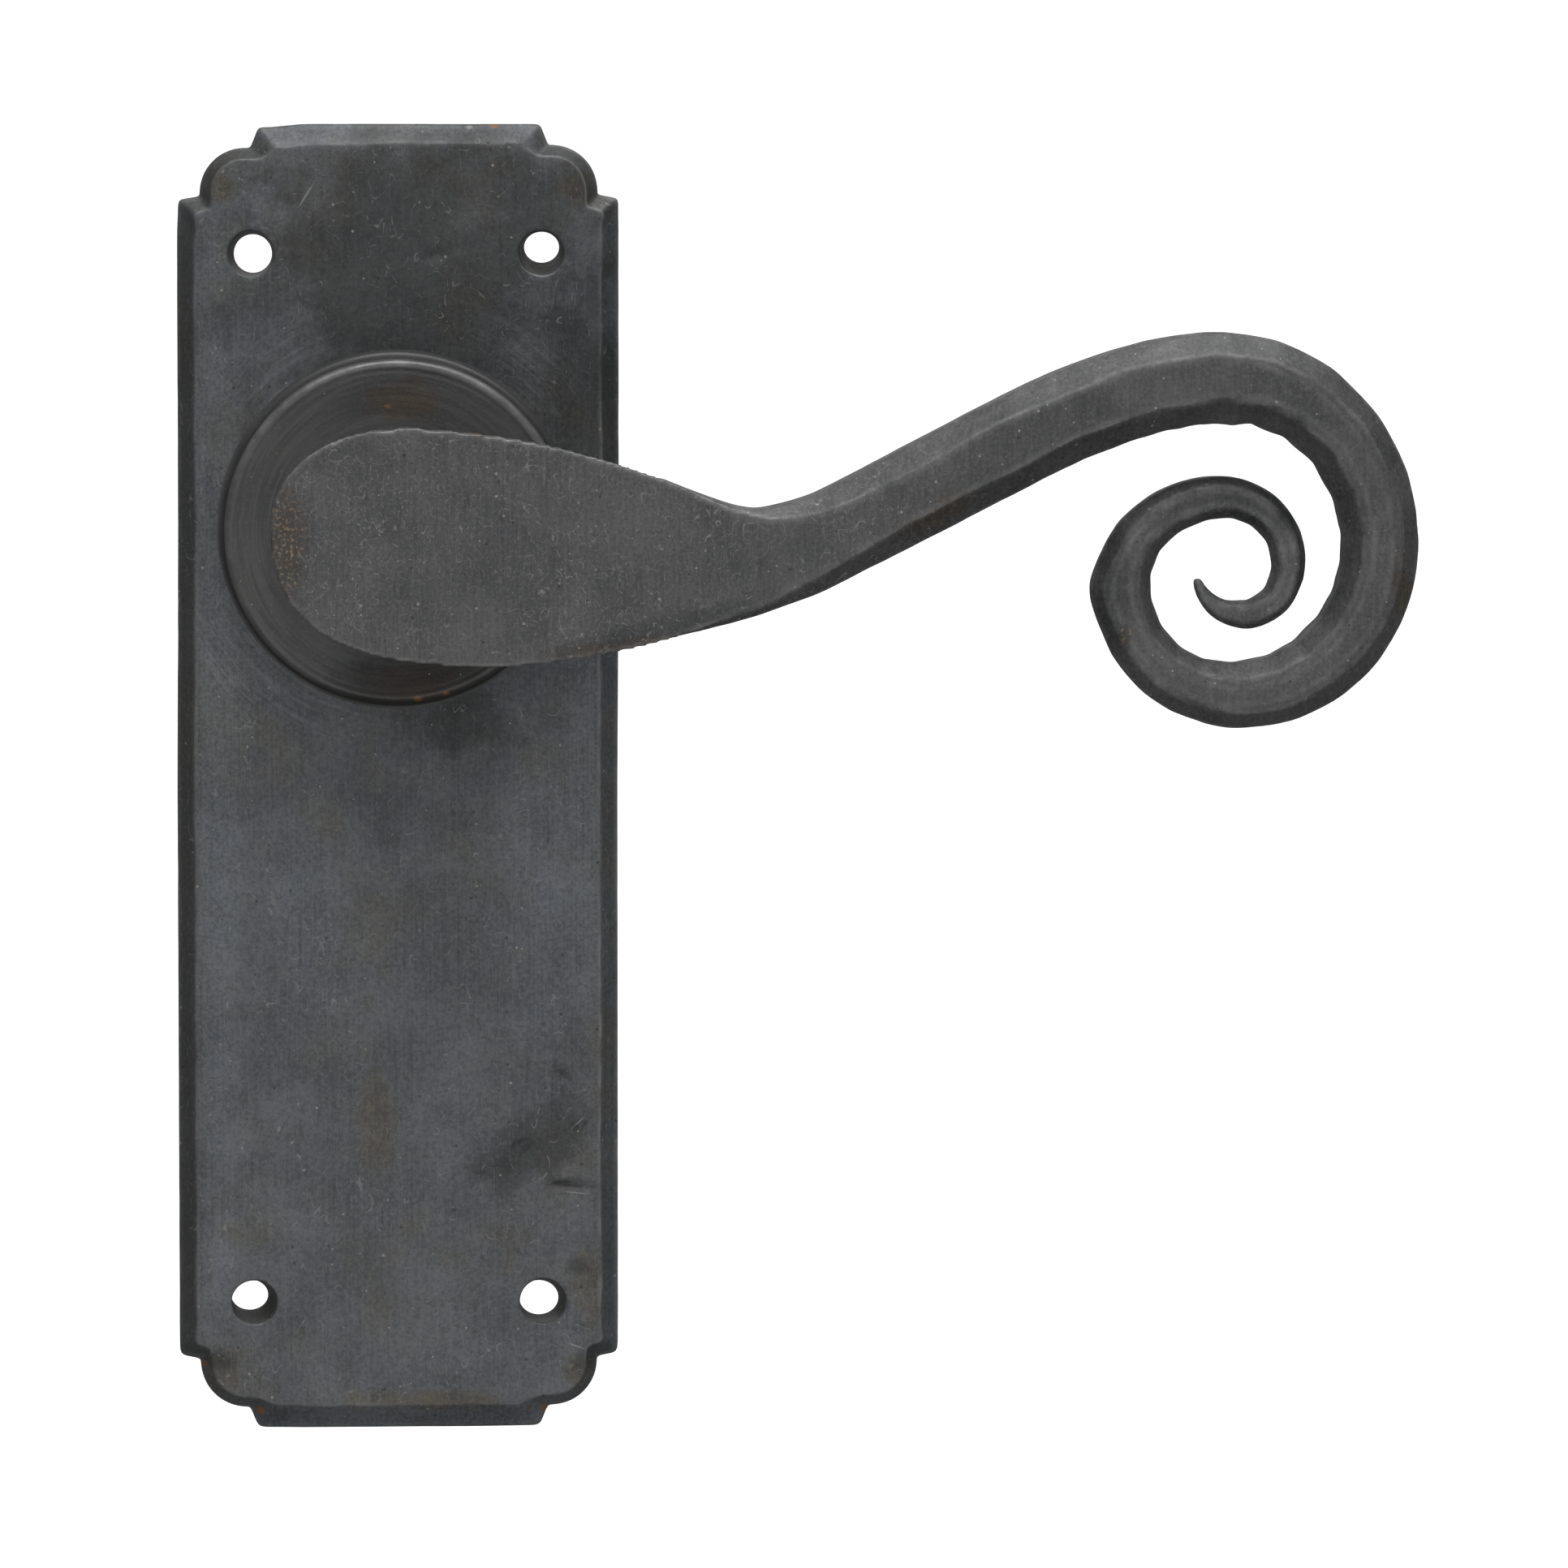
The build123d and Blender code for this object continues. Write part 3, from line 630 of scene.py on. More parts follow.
def forged_plate(material):
    skin = Skin()
    loops = rim_loops()
    profile = zip(loops, RIM_PROFILE)
    rim = [skin.add(loop, shine, shade_share) for loop, (_, _, shine, shade_share) in profile]
    for low, high in zip(rim, rim[1:]):
        skin.faces += strip(low[0], high[0], len(low))
    rim_total = skin.total

    walls = [hole_rings(centre, back) for centre, back in hole_centres()] + [recess_rings()]
    front = list(rim[-1])
    rear = list(rim[0])
    for wall in walls:
        rings = []
        for index, ring in enumerate(wall):
            # the mouth's rounded edge gets wear and painted highlight, the deeper rings painted
            # shade
            rings.append(skin.add(ring, 0.5 * (index == 1), WALL_SHADE * (index > 2)))
        for upper, lower in zip(rings, rings[1:]):
            skin.faces += [face[::-1] for face in strip(lower[0], upper[0], len(upper))]
        front += rings[0]
        rear += rings[-1]

    edge = loops[-1][:, :2]
    mouths = [wall[0] for wall in walls]
    loose = field_points(edge, mouths)
    front += skin.add(lifted(loose, field_heights(loose, edge)))
    skin.fill(front, filled(loops[-1], mouths, loose))
    rear_faces = filled(loops[0], [wall[-1] for wall in walls], np.zeros((0, 2)))
    skin.fill(rear, [face[::-1] for face in rear_faces])

    points = np.vstack(skin.points)
    plate = mesh_from("forged_plate", points, skin.faces)
    # the rim's painted shade and its wear and painted highlight, scaled side by side
    shade_share, shine = side_painted_light(points, rim_total)
    store(plate, "painted_shade", np.concatenate(skin.painted_shade) * shade_share)
    store(plate, "wear_and_highlight", np.concatenate(skin.wear_and_highlight) * shine)
    return finish_piece(plate, "plate", ["backplate"], material)


# ---- turned collar
def lathed(name, section, count=288):
    """A closed section of (radius, height) points turned round the spindle axis."""
    points = []
    faces = []
    for radius, height in section:
        points.append(circle((0, 0), radius, count, height))
    for index in range(len(section)):
        following = (index + 1) % len(section)
        faces += strip(index * count, following * count, count)
    return mesh_from(name, np.vstack(points), faces)


def collar_face(radius):
    """Height of the collar's front at a radius: slightly dished, with a fine groove."""
    dish = COLLAR_DISH * (radius / COLLAR_RADIUS) ** 2
    groove = GROOVE_DEPTH * exp(-(((radius - GROOVE_RADIUS) / GROOVE_WIDTH) ** 2))
    return COLLAR_FRONT - FACE_DROP + dish - groove


def collar_section():
    foot = PLATE_THICK - COLLAR_SINK
    section = [(COLLAR_HOLE, COVER_THICK), (COLLAR_HOLE, PLATE_THICK), (COVE_RADIUS, foot)]
    cove_steps = 10
    for i in range(cove_steps + 1):
        angle = pi / 2 * i / cove_steps
        radius = COVE_RADIUS - (COVE_RADIUS - COLLAR_RADIUS) * sin(angle)
        height = PLATE_THICK + (COVE_TOP - PLATE_THICK) * (1 - cos(angle))
        section.append((radius, height))
    section += [(COLLAR_RADIUS, height) for height in WALL_RINGS]
    edge_steps = 10
    corner = COLLAR_RADIUS - COLLAR_EDGE
    for i in range(edge_steps + 1):
        angle = pi / 2 * i / edge_steps
        height = collar_face(corner) - COLLAR_EDGE * (1 - sin(angle))
        section.append((corner + COLLAR_EDGE * cos(angle), height))
    face_steps = 60
    for i in range(1, face_steps + 1):
        radius = corner - (corner - COLLAR_BORE) * i / face_steps
        section.append((radius, collar_face(radius)))
    flange_back = COLLAR_FRONT - BUSH_FLANGE
    section += [(COLLAR_BORE, flange_back), (BUSH_BORE, flange_back), (BUSH_BORE, COLLAR_WALL)]
    section += [(COLLAR_CAVITY, COLLAR_WALL), (COLLAR_CAVITY, COVER_THICK)]
    return section


def collar_wear_and_painted_light(piece):
    """Wear with a painted highlight on the collar's front edge, brighter towards its top, and
    painted shade in the cove round its foot.
    """
    places = vertex_values(piece.data, "co") / MM
    radius = np.hypot(places[:, 0], places[:, 2])
    height = -places[:, 1]
    edge = np.exp(-(((radius - COLLAR_RADIUS + 0.4) / 0.4) ** 2)) * (height > 13.0)
    # painted highlight: the edge is painted brighter towards the top
    upper = np.clip(0.4 + 0.4 * places[:, 2] / COLLAR_RADIUS, 0.1, 1)
    store(piece, "wear_and_highlight", edge * upper)
    # painted shade: strongest at the top and bottom, weakest at the sides
    top_and_bottom = np.clip(np.abs(0.15 - places[:, 2] / COLLAR_RADIUS), 0.3, 1)
    store(piece, "painted_shade", np.clip((9.0 - height) / 4.0, 0, 1) * top_and_bottom)


def turned_collar(material):
    collar = lathed("turned_collar", collar_section())
    collar_wear_and_painted_light(collar)
    return finish_piece(collar, "plate", ["boss_collar"], material, 40)


# ---- forged lever
def curve_through(points, per_span):
    """A smooth open curve through points (Catmull-Rom), as an array."""
    points = np.asarray(points, float)
    padded = np.vstack([2 * points[0] - points[1], points, 2 * points[-1] - points[-2]])
    curve = []
    for p0, p1, p2, p3 in zip(padded, padded[1:], padded[2:], padded[3:]):
        for i in range(per_span):
            t = i / per_span
            straight = 2 * p1 + (p2 - p0) * t
            bend = (2 * p0 - 5 * p1 + 4 * p2 - p3) * t**2
            twist = (3 * p1 - p0 - 3 * p2 + p3) * t**3
            curve.append((straight + bend + twist) / 2)
    curve.append(points[-1])
    return np.array(curve)


def blade_solid():
    """The flat oval end: its outline at several heights, joined and capped."""
    edge = curve_through(BLADE_OUTLINE, 8)[::-1]
    count = len(edge)
    nudge = SMOOTHING_LOSS + uneven(lifted(edge), BLADE_UNEVEN)
    outward = np.roll(edge, -1, axis=0) - np.roll(edge, 1, axis=0)
    outward = np.column_stack([outward[:, 1], -outward[:, 0]])
    outward /= np.linalg.norm(outward, axis=1)[:, None]
    back = LEVER_FRONT - BLADE_THICK
    chamfer = BLADE_CHAMFER
    profile = [(-chamfer, back), (0.0, back + chamfer), (0.0, LEVER_FRONT - chamfer)]
    profile.append((-chamfer, LEVER_FRONT))
    points = []
    faces = []
    for offset, height in profile:
        points.append(lifted(edge + outward * (offset + nudge)[:, None], height))
    for index in range(len(profile) - 1):
        faces += strip(index * count, (index + 1) * count, count)
    last = (len(profile) - 1) * count
    faces.append(tuple(range(last, last + count)))
    faces.append(tuple(range(count))[::-1])
    return np.vstack(points), faces


def bar_depth(width):
    return DEPTH_BASE + DEPTH_SHARE * width


def bar_ledge(heading, width):
    return np.interp(heading, LEDGE_HEADINGS, LEDGE_SHARES) * width


def root_stations():
    """The listed sections of the bar's root, with others spaced evenly between them."""
    start_depth = bar_depth(BAR_WIDTH)
    start = (*BAR_START, BAR_HEADING, BAR_WIDTH, start_depth, CHAMFER_SHARE * BAR_WIDTH)
    values = curve_through([*BAR_ROOT, start], 4)[:-1]
    for x, y, heading, width, depth, chamfer in values:
        yield x, y, heading, width, depth, LEVER_FRONT, chamfer, 0.0


def bar_route():
    """Points along the bar: x, y, heading, width, depth, front, chamfer, bend radius or 0."""
    yield from root_stations()
    x, y = BAR_START
    heading = radians(BAR_HEADING)
    depth = bar_depth(BAR_WIDTH)
    chamfer = CHAMFER_SHARE * BAR_WIDTH
    steps = ceil(BAR_LENGTH / STATION_SPACING)
    for step in range(steps + 1):
        along = BAR_LENGTH * step / steps
        px = x + along * cos(heading)
        py = y + along * sin(heading)
        yield px, py, BAR_HEADING, BAR_WIDTH, depth, LEVER_FRONT, chamfer, 0.0
    x, y, heading, width = px, py, BAR_HEADING, BAR_WIDTH
    for turn, radius, end_width in SCROLL_BENDS:
        centre_x = x + radius * sin(radians(heading))
        centre_y = y - radius * cos(radians(heading))
        steps = ceil(radius * radians(turn) / STATION_SPACING)
        for step in range(1, steps + 1):
            share = step / steps
            now = heading - turn * share
            px = centre_x - radius * sin(radians(now))
            py = centre_y + radius * cos(radians(now))
            now_width = width + (end_width - width) * share
            depth = bar_depth(now_width)
            front = SCROLL_MIDDLE + depth / 2
            yield px, py, now, now_width, depth, front, CHAMFER_SHARE * now_width, radius
        x, y, heading, width = px, py, now, end_width


def bar_stations():
    """The route with, at each point, how far a hammered flat cuts in or leaves it proud."""
    flat_length = FLAT_LENGTH
    along = 0.0
    flat = 0
    last = None
    for x, y, heading, width, depth, front, chamfer, radius in bar_route():
        if last is not None:
            along += hypot(x - last[0], y - last[1])
        last = (x, y)
        if along > flat_length:
            along -= flat_length
            flat += 1
            chance = noise.noise(Vector((flat * 1.7, 0.3, 0.9)))
            flat_length = FLAT_LENGTH * (1 + FLAT_VARIETY * chance)
            flat_length *= 1 - FLAT_SHRINK * (1 - width / BAR_WIDTH)
        sagitta = 0.0
        if radius:
            inner_radius = max(radius - width / 2, MIN_INNER_RADIUS)
            bulge = flat_length**2 / (8 * inner_radius) * (width / BAR_WIDTH)
            sagitta = bulge * (2 / 3 - (2 * along / flat_length - 1) ** 2)
        yield x, y, heading, width, depth, front, chamfer, sagitta


def bar_section(index, x, y, heading, width, depth, front, chamfer, sagitta):
    """Ten corners of the bar's section, each a little out of true."""
    across = np.array([-sin(radians(heading)), cos(radians(heading))])
    place = index * STATION_SPACING / BUMP_SIZE
    outer = chamfer * (1 + OUTER_UNEVEN * noise.noise(Vector((place, 0.0, 3.0))))
    inner = chamfer * (1 + INNER_UNEVEN * noise.noise(Vector((place, 0.0, 9.0))))
    ledge = bar_ledge(heading, width)
    top = depth / 2
    edge = top - LEDGE_FALL * ledge
    fall = CHAMFER_FALL * min(chamfer, CHAMFER_SHARE * depth)
    knuckle = KNUCKLE * exp(-(((heading - KNUCKLE_HEADING) / KNUCKLE_REACH) ** 2))
    near = width / 2 + SMOOTHING_LOSS - OUTER_FLATS * sagitta + knuckle
    far = -width / 2 - SMOOTHING_LOSS - sagitta
    corners = [
        (near - outer - ledge, top),
        (near - outer, edge),
        (near, edge - fall),
        (near, fall - top),
        (near - outer, -top),
        (far + inner, -top),
        (far, fall - top),
        (far, edge - fall),
        (far + inner, edge),
        (far + inner + ledge, top),
    ]
    section = []
    for corner, (a, b) in enumerate(corners):
        spot = Vector((place * 1.7, corner * 2.11, 0.5))
        a += WIDTH_UNEVEN * width * noise.noise(spot)
        b += DEPTH_UNEVEN * depth * noise.noise(spot + Vector((0.0, 0.0, 7.0))) * (b < top)
        section.append((x + across[0] * a, y + across[1] * a, front - top + b))
    return section


def bar_solid():
    sections = [bar_section(index, *station) for index, station in enumerate(bar_stations())]
    corners = len(sections[0])
    faces = []
    for index in range(len(sections) - 1):
        faces += strip(corners * index, corners * (index + 1), corners)
    faces = [face[::-1] for face in faces]
    last = corners * (len(sections) - 1)
    faces.append(tuple(range(corners)))
    faces.append(tuple(range(last, last + corners))[::-1])
    return np.vstack(sections), faces


def joined(solids):
    points = []
    faces = []
    start = 0
    for solid_points, solid_faces in solids:
        points.append(solid_points)
        faces += [tuple(start + i for i in face) for face in solid_faces]
        start += len(solid_points)
    return np.vstack(points), faces


def apply_modifiers(piece):
    graph = bpy.context.evaluated_depsgraph_get()
    mesh = bpy.data.meshes.new_from_object(piece.evaluated_get(graph))
    piece.modifiers.clear()
    piece.data = mesh


def relax(piece, passes):
    """Draws each vertex to the mean of its neighbours; returns how far it stood proud."""
    mesh = piece.data
    start = vertex_values(mesh, "co")
    edges = np.zeros(len(mesh.edges) * 2, int)
    mesh.edges.foreach_get("vertices", edges)
    a, b = edges.reshape(-1, 2).T
    neighbours = np.bincount(edges, minlength=len(start))[:, None]
    places = start
    for _ in range(passes):
        total = np.zeros_like(places)
        np.add.at(total, a, places[b])
        np.add.at(total, b, places[a])
        places = places + 0.5 * (total / neighbours - places)
    move_vertices(mesh, places)
    return ((start - places) * vertex_values(mesh, "normal")).sum(1) / MM


def roughened(piece, layers, dents):
    """Moves each vertex along its normal by layers of noise, and in at the dents."""
    mesh = piece.data
    places = vertex_values(mesh, "co") / MM
    offset = uneven(places, layers)
    for x, up, radius, depth in dents:
        away = np.hypot(places[:, 0] - x, places[:, 2] - up) / radius
        offset = offset - depth * np.exp(-(away**4))
    places += vertex_values(mesh, "normal") * offset[:, None]
    move_vertices(mesh, places * MM)


def forged_lever(material):
    lever = mesh_from("forged_lever", *joined([blade_solid(), bar_solid()]))
    remesh = lever.modifiers.new("fuse", "REMESH")
    remesh.mode = "VOXEL"
    remesh.voxel_size = LEVER_VOXEL * MM
    apply_modifiers(lever)
    proud = relax(lever, 2)
    roughened(lever, LEVER_UNEVEN, LEVER_DENTS)
    # edges that stood proud get wear and a painted highlight
    store(lever, "wear_and_highlight", np.clip(proud / PROUD_WEAR_AND_HIGHLIGHT, 0, 1))
    return finish_piece(lever, "lever", ["lever"], material, 80)


# ---- materials
class Nodes:
    """Short calls for building a material's nodes."""

    def __init__(self, name):
        self.material = bpy.data.materials.new(name)
        self.material.use_nodes = True
        self.tree = self.material.node_tree
        self.shader = self.tree.nodes["Principled BSDF"]
        self.colour = None

    def add(self, kind, settings=None, **inputs):
        made = self.tree.nodes.new("ShaderNode" + kind)
        for key, value in (settings or {}).items():
            setattr(made, key, value)
        for key, value in inputs.items():
            self.set(made, key.replace("_", " "), value)
        return made

    def set(self, made, key, value):
        socket = made.inputs[int(key)] if key.isdigit() else made.inputs[key]
        if isinstance(value, bpy.types.NodeSocket):
            self.tree.links.new(value, socket)
        else:
            socket.default_value = value

    def place(self, scale=(1, 1, 1), shift=(0, 0, 0)):
        """Row coordinates in millimetres, times scale."""
        source = self.add("TexCoord").outputs["Object"]
        scaled = tuple(s / MM for s in scale)
        return self.add("Mapping", Vector=source, Location=shift, Scale=scaled).outputs["Vector"]

    def noise(self, size, detail=3.0, rough=0.55, stretch=(1, 1, 1), shift=(0, 0, 0)):
        """Noise from 0 to 1 with features about size mm across."""
        place = self.place(tuple(s / size for s in stretch), shift)
        made = self.add("TexNoise", Vector=place, Scale=1.0, Detail=detail, Roughness=rough)
        return made.outputs["Fac"]

    def ramp(self, value, low, high, from_value=0.0, to_value=1.0):
        """Value stretched so that low to high becomes from_value to to_value, clamped."""
        made = self.add("MapRange", {"interpolation_type": "SMOOTHSTEP"}, Value=value)
        self.set(made, "From Min", low)
        self.set(made, "From Max", high)
        self.set(made, "To Min", from_value)
        self.set(made, "To Max", to_value)
        return made.outputs["Result"]

    def math(self, operation, first, second=0.0):
        made = self.add("Math", {"operation": operation})
        self.set(made, "0", first)
        self.set(made, "1", second)
        return made.outputs[0]

    def mix(self, share, first, second, blend="MIX"):
        made = self.add("Mix", {"data_type": "RGBA", "blend_type": blend})
        self.set(made, "0", share)
        self.set(made, "6", first)
        self.set(made, "7", second)
        return made.outputs[2]

    def coat(self, mask, paint, share=None, blend="MIX"):
        """Lays paint over the colour so far where mask is 1, at a strength of share."""
        if share is not None:
            mask = self.math("MULTIPLY", mask, share)
        self.colour = self.mix(mask, self.colour, paint, blend)

    def vertex(self, name):
        return self.add("Attribute", {"attribute_name": name}).outputs["Fac"]

    def bump(self, height, distance, strength=1.0, normal=None):
        made = self.add("Bump", Height=height, Distance=distance * MM, Strength=strength)
        if normal is not None:
            self.set(made, "Normal", normal)
        return made.outputs["Normal"]

    def oval(self, x, up, half_width, half_height, turn=0.0):
        """Distance from the middle of an oval on the front, where 1 is the oval's edge."""
        source = self.add("TexCoord").outputs["Object"]
        made = self.add("Mapping", {"vector_type": "TEXTURE"}, Vector=source)
        self.set(made, "Location", (x * MM, 0.0, up * MM))
        self.set(made, "Rotation", (0.0, -radians(turn), 0.0))
        self.set(made, "Scale", (half_width * MM, 1.0, half_height * MM))
        length = self.add("VectorMath", {"operation": "LENGTH"})
        self.set(length, "0", made.outputs["Vector"])
        return length.outputs["Value"]

    def patches(self, marks, ragged=0.5, size=1.2):
        """1 in the middle of any of several ovals, fading unevenly to 0 at their edges."""
        uneven = self.noise(size, 4.0, 0.65, shift=(1.7, 3.1, 8.3))
        uneven = self.math("MULTIPLY", self.math("SUBTRACT", uneven, 0.5), 2 * ragged)
        nearest = self.oval(*marks[0])
        for mark in marks[1:]:
            nearest = self.math("MINIMUM", self.oval(*mark), nearest)
        return self.ramp(self.math("ADD", nearest, uneven), 0.35, 1.1, 1.0, 0.0)

    def hairs(self, size, width, share, stretch=(1, 1, 1), shift=0.0):
        """Thin wandering lines, broken up so that about this share of them is left."""
        shifts = (shift, 2 * shift, 3 * shift)
        field = self.noise(size, 1.0, 0.4, stretch, shifts)
        off_line = self.math("ABSOLUTE", self.math("SUBTRACT", field, 0.5))
        line = self.ramp(off_line, 0.0, width, 1.0, 0.0)
        parts = self.noise(size * 0.28, 1.0, 0.5, shift=(shift, 5.0, 1.0))
        crowds = self.ramp(self.noise(9.0, 2.0, 0.5, shift=(2.0, shift, 6.0)), 0.36, 0.62, 0.25, 1.0)
        kept = self.math("MULTIPLY", self.ramp(parts, 0.64 - share / 2, 0.68 - share / 2), crowds)
        return self.math("MULTIPLY", line, kept)

    def specks(self, spacing, radius, share, shift=0.0):
        """Round specks at random, from cells of which only a share carry one."""
        place = self.place((1 / spacing,) * 3, (shift, shift, shift))
        cells = self.add("TexVoronoi", Vector=place, Scale=1.0)
        dot = self.ramp(cells.outputs["Distance"], 0.5 * radius, radius, 1.0, 0.0)
        chance = self.add("SeparateColor", Color=cells.outputs["Color"]).outputs[0]
        return self.math("MULTIPLY", dot, self.math("LESS_THAN", chance, share))

    def rings(self, size):
        """Noise in fine rings round the spindle, as a lathe or a turning brush leaves it."""
        source = self.place((1.0, 0.0, 1.0))
        length = self.add("VectorMath", {"operation": "LENGTH"})
        self.set(length, "0", source)
        parts = self.add("SeparateXYZ", Vector=source)
        joined_up = self.add("CombineXYZ")
        self.set(joined_up, "X", self.math("DIVIDE", length.outputs["Value"], size))
        self.set(joined_up, "Y", self.math("DIVIDE", parts.outputs["X"], 9.0))
        self.set(joined_up, "Z", self.math("DIVIDE", parts.outputs["Z"], 9.0))
        made = self.add("TexNoise", Vector=joined_up.outputs[0], Scale=1.0, Detail=3.0)
        return made.outputs["Fac"]

    def finish(self, metallic, roughness, normal):
        self.set(self.shader, "Base Color", self.colour)
        self.set(self.shader, "Metallic", metallic)
        self.set(self.shader, "Roughness", roughness)
        self.set(self.shader, "Normal", normal)
        return self.material


def rgb(red, green, blue):
    return (red, green, blue, 1.0)


# black for grimy specks and pits, and for painted shade in the collar's cove
BLACK_GRIME_AND_SHADE = rgb(0.018, 0.018, 0.017)
RUST = rgb(0.20, 0.095, 0.035)
# pale iron for scratches and worn edges, and for painted highlights on arrises and on the dents'
# creases
WORN_AND_HIGHLIGHT = rgb(0.24, 0.24, 0.235)
DUST = rgb(0.30, 0.29, 0.26)
PLATE_SMUDGES_AND_SHADE = [  # smudges and painted shade on the plate, shade over the field above the collar, below the collar and in the dents' creases: x, up, half width, half height, and any turn
    (1.0, 30.0, 25.0, 24.0),
    (22.0, 14.0, 8.0, 16.0),
    (7.0, -22.5, 9.5, 4.4),
    (4.8, 31.7, 1.8, 1.4),
    (20.7, -86.2, 1.9, 1.3),
    (15.0, -72.0, 9.0, 5.0, 30.0),
    (20.0, -76.5, 4.2, 0.5, -4.0),
    (20.9, -69.9, 2.4, 0.45, 40.0),
    (14.4, -72.0, 2.0, 0.7, 35.0),
    (19.2, -63.4, 2.0, 0.7, -40.0),
    (21.2, -97.0, 3.4, 2.2, 30.0),
    (-21.0, -97.0, 2.6, 1.6),
]
# painted light on the plate: highlights along the field's left and right edges and its bottom, and
# lighter patches over the field: x, up, half width, half height, and any turn
PLATE_PAINTED_LIGHT = [
    (-20.8, -25.0, 3.6, 95.0),
    (-19.0, 34.0, 8.0, 14.0),
    (21.5, -20.0, 3.2, 50.0),
    (0.0, -104.0, 24.0, 2.6),
    (16.0, -40.0, 6.0, 26.0),
    (-9.0, -46.0, 7.0, 12.0, 10.0),
]
PLATE_SPUN = [  # where a turning brush has rubbed the plate round the collar
    (-16.0, -17.0, 15.0, 13.0),
    (17.0, 20.0, 10.0, 10.0),
    (-15.0, 21.0, 9.0, 9.0),
]
PLATE_BROWN = [
    (-2.3, -69.0, 2.6, 7.5),
    (22.0, -89.0, 2.0, 6.0),
    (3.0, -101.7, 12.0, 1.4),
    (-20.5, 39.5, 2.2, 2.0),
    (20.5, 39.5, 2.2, 2.0),
    (-20.5, -98.5, 2.4, 2.4),
    (20.5, -98.5, 2.4, 2.4),
]
PLATE_RUST = [
    (11.3, 46.8, 0.8, 0.5),
    (-22.8, -97.4, 0.7, 0.6),
    (-16.2, -102.9, 0.8, 0.6),
    (17.0, -102.9, 0.8, 0.6),
]
# scratches, and painted glints along the creases of the dents near x 20: x, up, half width, half
# height, and any turn
PLATE_SCRATCHES_AND_GLINTS = [
    (-10.4, 38.6, 1.9, 0.16, 58.0),
    (20.7, -95.4, 1.2, 0.15, -20.0),
    (25.2, -87.4, 0.25, 0.25),
    (8.5, 46.5, 0.5, 0.3),
    (-13.9, -69.8, 0.5, 0.18, 70.0),
    (-12.4, -71.4, 0.4, 0.14, 35.0),
    (-11.6, -73.0, 0.5, 0.14, -50.0),
    (-11.0, -74.6, 0.3, 0.2, 20.0),
    (-9.5, -79.3, 0.9, 0.10, 50.0),
    (20.9, -69.2, 1.4, 0.10, 42.0),
    (20.6, -77.4, 1.9, 0.09, -6.0),
]


